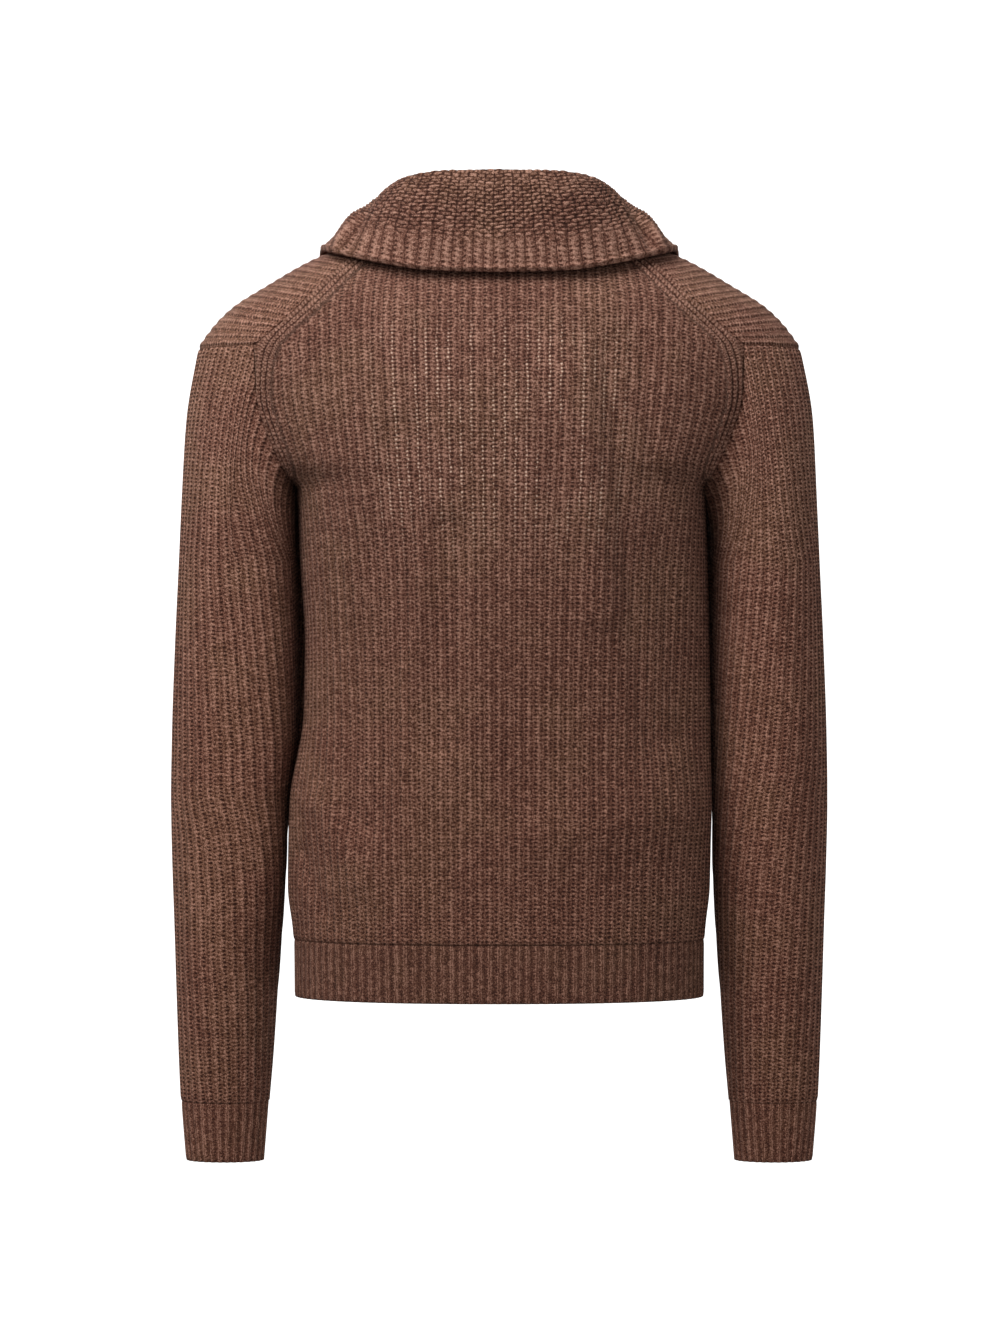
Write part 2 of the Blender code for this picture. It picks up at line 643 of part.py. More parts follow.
def collar(back, front):
    points, marks = collar_stations(neck_line(back, front))
    stations = collar_side(points, -1)[:0:-1] + collar_side(points, 1)
    count = len(points) - 1
    kept_places = set(marks)
    for a, b in zip(marks, marks[1:]):
        parts = max(1, round((b - a) / 4))
        kept_places |= {a + (b - a) * k // parts for k in range(1, parts)}
    kept_places |= {-m for m in kept_places}
    sheet = Sheet()
    for r in range(len(COLLAR_ROWS)):
        places = list(range(-count, count + 1))
        row = [s[r] for s in stations]
        if r == 0:
            row = [p for p in (points * (-1, 1, 1))[:0:-1]] + [p for p in points]
        last = r in (0, len(COLLAR_ROWS) - 1)
        rise = [float(p % 2 == 0 and not last and abs(p) < count) for p in places]
        sheet.row(places, row, rise, [p in kept_places for p in places])
    return sheet


def band(front, hem, side):
    """A button band: ribs across it, tilted so that the two lie over each other."""
    break_row = FRONT_EDGE_LEVELS.index(BREAK_Z)
    seam = [hem.points[hem.rows[k][0][1]] for k in range(len(HEM_LEVELS))]
    seam += [front.points[front.rows[k][0][1]] for k in range(1, break_row + 1)]
    fine, kept = [seam[0]], [True]
    for a, b in zip(seam, seam[1:]):
        count = max(2, 2 * round(float(np.linalg.norm(b - a)) / BAND_HALF_RIB / 2))
        fine += [a + (b - a) * k / count for k in range(1, count + 1)]
        kept += [False] * (count - 1) + [True]
    fine = np.array(fine)
    lap = -LAP_RISE if side > 0 else LAP_SINK
    sheet = Sheet()
    places = list(range(len(fine)))
    for share in (0.0, 0.5, 1.0):
        x = BAND_HALF * (1 - 2 * share)
        row = fine.copy()
        row[:, 0] = side * x
        centre = body_point(fine[:, 2], -angle_at(abs(x), fine[:, 2], 1), 1)
        row[:, 1] = np.where(share == 0.0, fine[:, 1], centre[:, 1] + lap * share)
        rise = [float(k % 2 == 0 and 0 < k < len(fine) - 1 and share == 0.5) for k in places]
        sheet.row(places, row, rise, kept)
    return sheet


# ---------------------------------------------------------------- objects
def material(name, colour, roughness):
    mat = bpy.data.materials.new(name)
    mat.use_nodes = True
    shader = mat.node_tree.nodes["Principled BSDF"]
    shader.inputs["Base Color"].default_value = (*colour, 1.0)
    shader.inputs["Roughness"].default_value = roughness
    return mat


def add_object(name, verts, faces, mat):
    mesh = bpy.data.meshes.new(name)
    mesh.from_pydata([tuple(v) for v in verts], [], faces)
    mesh.materials.append(mat)
    mesh.validate()
    obj = bpy.data.objects.new(name, mesh)
    bpy.context.collection.objects.link(obj)
    return obj


def button(name, height, mat):
    """A turned disc with a raised rim, its back just clear of the upper band."""
    front_y = body_point(np.float64(height), -math.pi / 2, 1)[1]
    tilt = LAP_RISE * (0.5 + BUTTON_RADIUS / (2 * BAND_HALF))
    back_face = front_y - tilt - RIB_RISE - BUTTON_CLEAR
    profile = ((BUTTON_RADIUS * 0.55, 0.0), (BUTTON_RADIUS * 0.94, BUTTON_THICK * 0.25),
               (BUTTON_RADIUS, BUTTON_THICK * 0.62), (BUTTON_RADIUS * 0.88, BUTTON_THICK),
               (BUTTON_RADIUS * 0.66, BUTTON_THICK * 0.72))
    verts, faces = [], []
    for radius, rise in profile:
        for k in range(BUTTON_SEGMENTS):
            turn = 2 * math.pi * k / BUTTON_SEGMENTS
            verts.append((radius * math.cos(turn), back_face - rise,
                          height + radius * math.sin(turn)))
    n = BUTTON_SEGMENTS
    for r in range(len(profile) - 1):
        for k in range(n):
            a, b = r * n + k, r * n + (k + 1) % n
            faces.append((a, b, b + n, a + n))
    faces.append(tuple(range(n))[::-1])
    top = (len(profile) - 1) * n
    faces.append(tuple(range(top, top + n)))
    return add_object(name, verts, faces, mat)


def seam_directions(pieces):
    """One direction through the wall at each seam point, shared by all that meet there.

    Where a sleeve hangs against the body the two faces look at each other, and the wall
    there turns to point down into the crease.
    """
    body, sleeves, owners = {}, {}, {}
    for piece in pieces:
        group = sleeves if piece.name.startswith("sleeve") else body
        for loop in piece.loops:
            for v in loop:
                spot = key(piece.points[v])
                group[spot] = group.get(spot, np.zeros(3)) + piece.normals[v]
                owners.setdefault(spot, set()).add(piece.name)
    shared = {}
    for spot in owners:
        if spot in body and spot in sleeves:
            one, other = unit(body[spot]), unit(sleeves[spot])
            facing = (1 - float(one @ other)) / 2
            shared[spot] = unit(one + other + np.array((0, 0, -CREASE_TURN)) * facing ** 2)
        else:
            shared[spot] = unit(body.get(spot, np.zeros(3)) + sleeves.get(spot, np.zeros(3)))
    return shared, owners


def main():
    for obj in list(bpy.data.objects):
        bpy.data.objects.remove(obj)
    knit = material("brown_wool_knit", KNIT, 0.9)
    horn = material("dark_horn", HORN, 0.4)

    back = panel_back(BACK_LEVELS + ARMHOLE_LEVELS + SHOULDER_LEVELS)
    hem_back = panel_back(HEM_LEVELS)
    fronts = {side: panel_front(side) for side in (1, -1)}
    hems = {side: hem_front(side) for side in (1, -1)}
    pieces = [Piece("back", back, flip=True), Piece("hem_back", hem_back, flip=True)]
    for side, word in ((1, "left"), (-1, "right")):
        pieces += [
            Piece(f"front_{word}", fronts[side], flip=side < 0),
            Piece(f"hem_{word}", hems[side], flip=side < 0),
            Piece(f"sleeve_{word}", sleeve(back, fronts[side], side), flip=side > 0),
            Piece(f"cuff_{word}", cuff(side), flip=side > 0),
            Piece(f"band_{word}", band(fronts[side], hems[side], side), flip=side < 0),
        ]
    pieces.append(Piece("collar", collar(back, fronts[1]), flip=True,
                        plain_off=0.0, rib_off=-WALL, rib_sign=-1.0))

    shared, owners = seam_directions(pieces)
    for piece in pieces:
        add_object(piece.name, *piece.build(shared, owners), knit)
    for k, height in enumerate(BUTTON_HEIGHTS, 1):
        button(f"button_{k}", height, horn)


main()
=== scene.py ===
"""Shawl collar cardigan in chunky brown rib knit, in its worn, hollow form.

Metres, +Z up, front towards -Y, the wearer's left towards +X.
"""
import math

import bpy
import numpy as np
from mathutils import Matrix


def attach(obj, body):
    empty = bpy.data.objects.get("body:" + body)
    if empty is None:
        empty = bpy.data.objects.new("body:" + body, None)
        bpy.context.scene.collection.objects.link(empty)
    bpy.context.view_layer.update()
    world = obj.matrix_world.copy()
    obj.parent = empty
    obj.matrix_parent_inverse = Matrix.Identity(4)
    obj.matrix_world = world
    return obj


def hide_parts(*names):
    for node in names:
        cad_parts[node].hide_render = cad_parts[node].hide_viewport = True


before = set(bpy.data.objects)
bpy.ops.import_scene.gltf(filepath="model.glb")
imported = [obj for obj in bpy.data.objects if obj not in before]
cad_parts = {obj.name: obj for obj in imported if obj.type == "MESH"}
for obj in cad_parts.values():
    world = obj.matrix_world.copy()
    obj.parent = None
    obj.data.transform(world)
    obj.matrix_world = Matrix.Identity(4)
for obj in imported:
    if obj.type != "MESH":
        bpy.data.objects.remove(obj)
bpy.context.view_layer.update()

# ---------------- Studio
# A long lens looks at the middle of the back. A white sheet hangs far behind, and the
# light comes from large soft boxes, mostly from above and from camera left.
CAMERA_X, CAMERA_Y, CAMERA_Z, LENS, SENSOR = -0.00065, 4.1, -0.380, 127.2, 36.0
SHEET_Y, SHEET_HALF = -7.0, 1.9
ROOM_COLOUR, ROOM_STRENGTH = (1.0, 0.985, 0.965, 1), 0.36

scene = bpy.context.scene
camera = bpy.data.objects.new("camera", bpy.data.cameras.new("camera"))
camera.data.lens = LENS
camera.data.sensor_width = SENSOR
camera.location = (CAMERA_X, CAMERA_Y, CAMERA_Z)
camera.rotation_euler = (math.radians(90), 0, math.radians(180))
scene.collection.objects.link(camera)
scene.camera = camera
scene.view_settings.view_transform = "Standard"

SOFT_BOXES = (
    # name, place, aimed at, size, watts
    ("top_box", (0.8, 1.5, 2.1), (0, 0, -0.15), 1.6, 74.0),
    ("camera_left_box", (2.3, 2.3, 1.4), (0, 0, -0.30), 1.3, 37.0),
    ("camera_right_box", (-2.4, 2.3, 0.9), (0, 0, -0.30), 1.3, 11.0),
    ("front_box", (0.6, -3.0, 1.2), (0, 0, -0.3), 2.2, 40.0),
)
for name, place, aim, size, watts in SOFT_BOXES:
    lamp = bpy.data.lights.new(name, "AREA")
    lamp.energy, lamp.size = watts, size
    box = bpy.data.objects.new(name, lamp)
    box.location = place
    way = np.array(place) - np.array(aim)
    box.rotation_euler = (math.acos(way[2] / np.linalg.norm(way)), 0,
                          math.atan2(way[1], way[0]) + math.pi / 2)
    scene.collection.objects.link(box)

world = bpy.data.worlds.new("room")
world.use_nodes = True
room = world.node_tree.nodes["Background"].inputs
room["Color"].default_value, room["Strength"].default_value = ROOM_COLOUR, ROOM_STRENGTH
scene.world = world


def new_finish(name, sockets):
    """A new material with these sockets set, its node tree and its shader."""
    finish = bpy.data.materials.new(name)
    finish.use_nodes = True
    shader = finish.node_tree.nodes["Principled BSDF"]
    for key, value in sockets.items():
        shader.inputs[key].default_value = value
    return finish, finish.node_tree, shader


def new_piece(name, verts, faces):
    """A new mesh object in the scene."""
    mesh = bpy.data.meshes.new(name)
    mesh.from_pydata(verts, [], faces)
    piece = bpy.data.objects.new(name, mesh)
    scene.collection.objects.link(piece)
    return piece


backdrop = new_piece("backdrop", [
    (x * SHEET_HALF, SHEET_Y, CAMERA_Z + z * SHEET_HALF)
    for x, z in ((-1, -1), (1, -1), (1, 1), (-1, 1))], [(3, 2, 1, 0)])
backdrop.data.materials.append(new_finish("lit_white_sheet", {
    "Base Color": (0.8, 0.8, 0.8, 1), "Roughness": 0.95,
    "Emission Color": (1, 1, 1, 1), "Emission Strength": 1.0})[0])

# ---------------- Back
# One knitted panel of marled wool in half-cardigan rib. Its upper edges slope as the
# shoulder seams, and three raised wales run beside these and down the armholes.
SIDES = {1: "left", -1: "right"}
LEVEL_COLUMNS = ("height", "left", "right", "back", "front", "round")
LEVELS = (
    (-0.6655, 0.1770, 0.1770, 0.112, 0.113, 2.25),
    (-0.6155, 0.1775, 0.1772, 0.113, 0.115, 2.25),
    (-0.5700, 0.1822, 0.1815, 0.115, 0.118, 2.25),
    (-0.5000, 0.1810, 0.1826, 0.117, 0.121, 2.25),
    (-0.4200, 0.1685, 0.1822, 0.120, 0.123, 2.25),
    (-0.3600, 0.1675, 0.1812, 0.124, 0.124, 2.28),
    (-0.2900, 0.1718, 0.1798, 0.129, 0.123, 2.35),
    (-0.2260, 0.1748, 0.1782, 0.132, 0.118, 2.55),
    (-0.2050, 0.2000, 0.2020, 0.132, 0.115, 2.40),
    (-0.1830, 0.2220, 0.2230, 0.132, 0.112, 2.20),
    (-0.1500, 0.2450, 0.2450, 0.130, 0.107, 2.05),
    (-0.1050, 0.2604, 0.2604, 0.121, 0.097, 2.00),
    (-0.0905, 0.2523, 0.2523, 0.117, 0.093, 2.00),
    (-0.0696, 0.2330, 0.2330, 0.110, 0.086, 2.00),
    (-0.0487, 0.2005, 0.2005, 0.099, 0.077, 2.00),
    (-0.0278, 0.1640, 0.1640, 0.083, 0.064, 2.00),
    (-0.0120, 0.1260, 0.1260, 0.070, 0.053, 2.00),
    (0.0000, 0.0980, 0.0980, 0.060, 0.044, 2.00),
)
HEM_Z, HEM_SEAM_Z, UNDERARM_Z, HEAD_Z = -0.6655, -0.6155, -0.226, -0.105
NECK_TOP_Z, NECK_DROP_Z, NECK_HALF, CORNER_X = -0.004, -0.022, 0.093, 0.2100
EDGE_COLUMNS = ("height", "half_width")
ARMHOLE = ((-0.226, 0.1755), (-0.205, 0.1860), (-0.183, 0.1965), (-0.148, 0.2075),
           (-0.105, CORNER_X))
SHOULDER = ((HEAD_Z, CORNER_X), (-0.079, 0.1785), (-0.0345, 0.1335), (NECK_TOP_Z, NECK_HALF))
YOKE_Z = -0.0797              # above this the rows bend down towards the neck
HALF_RIB_COLUMNS = ("height", "half_rib")
HALF_RIB = ((-0.6655, 0.0040), (-0.50, 0.0041), (-0.30, 0.0043), (-0.20, 0.0046),
            (-0.105, 0.0048))
WALL, COURSE = 0.003, 0.0035
GROOVE, GROOVE_WIDTH = 0.0005, 0.0022     # the sunk line along every edge of a piece
COLUMNS_PER_WALE, ROW, YOKE_ROWS = 5, 0.0021, 72
EDGE_GAP, GUIDES, ROW_POINTS, ROWS_PER_INSIDE = 0.35, 81, 90, 4
BACK_RISE, BACK_RISE_HIGH, BACK_RISE_FADE, FOLD_FADE = 0.0016, 0.0010, (-0.40, -0.20), 0.03
# The border of three raised wales, which turns the corner under the head seam.
BORDER_WIDTH, BORDER_PITCH, BORDER_RISE, CORNER_SOFT = 0.0168, 0.0056, 0.0030, 0.010
BORDER_FOOT = 0.008           # how far above the underarm it starts
BORDER_WALE = 200.0           # its wales are numbered from here, to tell it from the rib
SEAM_LEAN = 0.98              # how far the shoulder seam moves out for each metre down
SQUARE_TO_SEAM, ALONG_SEAM, ARMHOLE_LEAN, CORNER_TURN = 0.74, 0.72, 1.1, 0.012
# The wales bend to follow the armhole: how wide, at what height, and where that fades.
HUG_WIDTH, HUG_Z, HUG_LOW, HUG_HIGH = 0.055, -0.15, (-0.235, -0.205), (-0.085, -0.125)
# Linear colours of the marled yarn, with light and shade painted in: the darkest, for painted
# shade in the pits and the darkest fibres, two browns that drift into each other, and the
# palest, for painted highlights on the crests and the palest fibres.
DARK_FIBRE_AND_SHADE_BROWN, WARM_BROWN = (0.0360, 0.0115, 0.0070), (0.1265, 0.0500, 0.0326)
OLIVE_BROWN, PALE_FIBRE_AND_HIGHLIGHT_BROWN = (0.1205, 0.0532, 0.0304), (0.3800, 0.2090, 0.1530)
LOW_SHADE_TINT = (0.93, 0.875, 0.845, 1)        # painted shade: darker and browner towards the hem, as the light from above falls off
PINHOLE_LIGHT, SHEEN_TINT = (0.66, 0.47, 0.36, 1), (0.80, 0.58, 0.45, 1)
# Painted highlights on the crest and valley stitches, the plain lightness, and painted shade in
# the pits, weaker in the odd columns, and between the rows.
CREST_HIGHLIGHT, VALLEY_HIGHLIGHT, PLAIN_LIGHT = 0.26, 0.06, 0.475
PIT_SHADE, PIT_ODD, ROW_SHADE = 0.80, 0.42, 0.05
BACK_FOLDS = (
    # x_high, z_high, x_low, z_low, width, rise
    (0.082, -0.190, 0.116, -0.500, 0.019, -0.0090),
    (0.042, -0.270, 0.050, -0.440, 0.016, -0.0065),
    (-0.105, -0.120, -0.140, -0.430, 0.022, -0.0075),
    (-0.066, -0.130, -0.085, -0.330, 0.020, 0.0055),
    (-0.040, -0.525, -0.150, -0.500, 0.030, 0.0048),
    (0.150, -0.500, 0.120, -0.560, 0.014, 0.0045),
    (0.168, -0.540, 0.150, -0.590, 0.008, -0.0035),
)


def hermite(t, step, start, end, slope_start, slope_end):
    """Cubic from start to end, for t from 0 to 1."""
    return ((1 + 2 * t) * (1 - t) ** 2 * start + t * (1 - t) ** 2 * step * slope_start
            + t * t * (3 - 2 * t) * end - t * t * (1 - t) * step * slope_end)


def smooth_curve(xs, ys, x):
    """Cubic through the points, with slopes held back where it would overshoot."""
    order = np.argsort(xs)
    xs, ys = np.asarray(xs, float)[order], np.asarray(ys, float)[order]
    steps = np.diff(xs)
    rise = np.diff(ys) / steps
    slope = np.zeros_like(ys)
    same = rise[1:] * rise[:-1] > 0
    harmonic = 2.0 * rise[1:] * rise[:-1] / np.where(same, rise[1:] + rise[:-1], 1.0)
    slope[1:-1] = np.where(same, harmonic, 0.0)
    slope[0], slope[-1] = rise[0], rise[-1]
    x = np.clip(x, xs[0], xs[-1])
    k = np.clip(np.searchsorted(xs, x) - 1, 0, len(xs) - 2)
    return hermite((x - xs[k]) / steps[k], steps[k], ys[k], ys[k + 1], slope[k], slope[k + 1])


def read(table, names, name, x):
    """One named column of a table, at x in its first column."""
    key, value = names.index(names[0]), names.index(name)
    return smooth_curve([row[key] for row in table], [row[value] for row in table], x)


def ease(low, high, x):
    """Smoothly from 0 at low to 1 at high."""
    t = np.clip((x - low) / (high - low), 0.0, 1.0)
    return t * t * (3 - 2 * t)


def unit(v):
    return v / np.maximum(np.linalg.norm(v, axis=-1, keepdims=True), 1e-12)


def running(points):
    """Length along a line, up to each of its points."""
    steps = np.linalg.norm(np.diff(points, axis=0), axis=1)
    return np.concatenate([[0.0], np.cumsum(steps)])


def resample(at, along, points):
    return np.stack([np.interp(at, along, points[:, c]) for c in range(3)], axis=1)


def body_size(name, height):
    return read(LEVELS, LEVEL_COLUMNS, name, height)


def body_point(height, angle, side):
    """Angle 0 is the side, a quarter turn up is the back and down is the front."""
    height = np.asarray(height, float)
    width = body_size(SIDES[side], height)
    back = body_size("back", height)
    front = body_size("front", height)
    power = 2.0 / body_size("round", height)
    cos, sin = np.cos(angle), np.sin(angle)
    x = side * width * np.sign(cos) * np.abs(cos) ** power
    y = np.where(sin > 0, back, front) * np.sign(sin) * np.abs(sin) ** power
    return np.stack(np.broadcast_arrays(x, y, height), axis=-1)


def angle_at(x, height, side):
    """The angle at which the body is x away from the middle."""
    width = body_size(SIDES[side], height)
    power = body_size("round", height) / 2.0
    return np.arccos(np.clip(x / width, -1.0, 1.0) ** power)


def side_angle(height, side):
    """Angle of a panel's outer edge: side seam, armhole, then shoulder seam."""
    if height <= UNDERARM_Z:
        return 0.0
    edge = ARMHOLE if height <= HEAD_Z else SHOULDER
    return float(angle_at(read(edge, EDGE_COLUMNS, "half_width", height), height, side))


def half_rib(height):
    return float(read(HALF_RIB, HALF_RIB_COLUMNS, "half_rib", height))


def back_half(level, side):
    """One row of the back, from its centre to the edge on one side."""
    angle = np.linspace(math.pi / 2, side_angle(level, side), ROW_POINTS)
    height = np.full(ROW_POINTS, float(level))
    if level > YOKE_Z:
        share = (level - YOKE_Z) / (NECK_TOP_Z - YOKE_Z)
        for _ in range(4):
            x = np.abs(body_point(height, angle, side)[:, 0])
            neck = NECK_TOP_Z - (NECK_TOP_Z - NECK_DROP_Z) * np.sqrt(
                np.clip(1 - (x / NECK_HALF) ** 2, 0, 1))
            height = YOKE_Z + share * (neck - YOKE_Z)
        height[-1] = level
    return body_point(height, angle, side)


def back_row(level):
    """The whole row with the wale number at every point."""
    left, right = back_half(level, 1), back_half(level, -1)
    pitch = 2 * half_rib(level)
    return (np.vstack([right[:0:-1], left]),
            np.concatenate([-running(right)[:0:-1], running(left)]) / pitch)


def strips(ids, firsts):
    """Triangles from each row to the next, where columns follow the same wales."""
    found = []
    for low_ids, high_ids, low_first, high_first in zip(ids, ids[1:], firsts, firsts[1:]):
        low_last = low_first + len(low_ids) - 1
        high_last = high_first + len(high_ids) - 1
        k = np.arange(min(low_first, high_first), max(low_last, high_last) + 1)
        a = low_ids[np.clip(k, low_first, low_last) - low_first]
        b = high_ids[np.clip(k, high_first, high_last) - high_first]
        found.append(np.stack([a[:-1], a[1:], b[1:]], axis=1)[a[:-1] != a[1:]])
        found.append(np.stack([a[:-1], b[1:], b[:-1]], axis=1)[b[:-1] != b[1:]])
    return np.vstack(found)


def rim(outer, inner):
    """Triangles across the wall's edge. `inner` has -1 where the inside has no vertex."""
    marks = [k for k, v in enumerate(inner) if v >= 0]
    faces = []
    for a, b in zip(marks, marks[1:]):
        middle = (a + b) // 2
        faces += [(outer[k + 1], outer[k], inner[a]) for k in range(a, middle)]
        faces.append((outer[middle], inner[a], inner[b]))
        faces += [(outer[k + 1], outer[k], inner[b]) for k in range(middle, b)]
    return [f for f in faces if len(set(f)) == 3]


def knit(name, rows, relief, flip=False, lift=0.0):
    """A knitted wall. Each row is (points, wale numbers); columns follow the wales.

    The outside lies `lift` off the rows' own surface, and the inside a wall deeper.

    relief(wale, course, edge, place) gives how far the outside stands out, and the wale
    and course that the wool shows there. edge holds the distances to the two ends of
    the row and to the first and last row.
    """
    guides = np.linspace(min(w[0] for _, w in rows), max(w[-1] for _, w in rows), GUIDES)
    lattice = np.array([resample(guides, w, p) for p, w in rows])
    steps = np.linalg.norm(np.diff(lattice, axis=0), axis=2)
    down = np.vstack([np.zeros(GUIDES), np.cumsum(steps, axis=0)])

    place, wale, edge, ids, firsts, count = [], [], [], [], [], 0
    for r, (points, wales) in enumerate(rows):
        first = math.ceil(wales[0] * COLUMNS_PER_WALE + EDGE_GAP) - 1
        last = math.floor(wales[-1] * COLUMNS_PER_WALE - EDGE_GAP) + 1
        at = np.clip(np.arange(first, last + 1) / COLUMNS_PER_WALE, wales[0], wales[-1])
        length = np.interp(at, wales, running(points))
        place.append(resample(at, wales, points))
        wale.append(at)
        done = np.interp(at, guides, down[r])
        whole = np.interp(at, guides, down[-1])
        edge.append(np.stack([length, running(points)[-1] - length, done, whole - done], axis=1))
        ids.append(np.arange(count, count + len(at)))
        firsts.append(first)
        count += len(at)
    place, wale, edge = np.vstack(place), np.concatenate(wale), np.vstack(edge)
    outside = strips(ids, firsts)
    normal = np.zeros_like(place)
    one, two, three = (place[outside[:, c]] for c in range(3))
    for c in range(3):
        np.add.at(normal, outside[:, c], np.cross(two - one, three - one))
    normal = unit(normal) * (-1 if flip else 1)

    height, map_u, map_v = relief(wale, edge[:, 2] / COURSE, edge, place)
    groove = GROOVE * np.exp(-(edge.min(axis=1) / GROOVE_WIDTH) ** 2)
    front = place + normal * (lift + height - groove)[:, None]

    inner_of = np.full(count, -1)
    inner_ids, inner_firsts, picked = [], [], []
    for r in sorted(set(range(0, len(rows), ROWS_PER_INSIDE)) | {len(rows) - 1}):
        last = firsts[r] + len(ids[r]) - 1
        low = math.floor(firsts[r] / COLUMNS_PER_WALE)
        high = math.ceil(last / COLUMNS_PER_WALE)
        chosen = ids[r][np.clip(np.arange(low, high + 1) * COLUMNS_PER_WALE, firsts[r], last)
                        - firsts[r]]
        for v in chosen:
            if inner_of[v] < 0:
                inner_of[v] = count + len(picked)
                picked.append(v)
        inner_ids.append(inner_of[chosen])
        inner_firsts.append(low)
    inside = strips(inner_ids, inner_firsts)
    loop = (list(ids[0]) + [row[-1] for row in ids[1:]] + list(ids[-1][-2::-1])
            + [row[0] for row in ids[-2::-1]])
    edges = rim(loop, [inner_of[v] for v in loop])
    back = place[picked] + normal[picked] * (lift - WALL)
    faces = np.vstack([outside, inside[:, ::-1], np.array(edges)])
    if flip:
        faces = faces[:, ::-1]
    piece = new_piece(name, np.vstack([front, back]).tolist(), faces.tolist())
    mesh = piece.data
    layer = mesh.uv_layers.new(name="stitches")
    both = np.stack([map_u, map_v], axis=1)
    both = np.vstack([both, both[picked]])
    corner = np.empty(len(mesh.loops), dtype=np.int32)
    mesh.loops.foreach_get("vertex_index", corner)
    layer.data.foreach_set("uv", both[corner].astype(np.float32).ravel())
    mesh.shade_smooth()
    return piece


def round_rib(wale):
    """A full, round wale, 1 on its crest."""
    return np.abs(np.cos(np.pi * wale)) ** 0.8


def wire(tree, kind, sockets, **settings):
    """Adds a node, with each socket linked or set, and gives its first output."""
    made = tree.nodes.new(kind)
    for key, value in settings.items():
        setattr(made, key, value)
    for key, value in sockets.items():
        if isinstance(value, bpy.types.NodeSocket):
            tree.links.new(value, made.inputs[key])
        else:
            made.inputs[key].default_value = value
    return made.outputs[2] if settings.get("data_type") == "RGBA" else made.outputs[0]


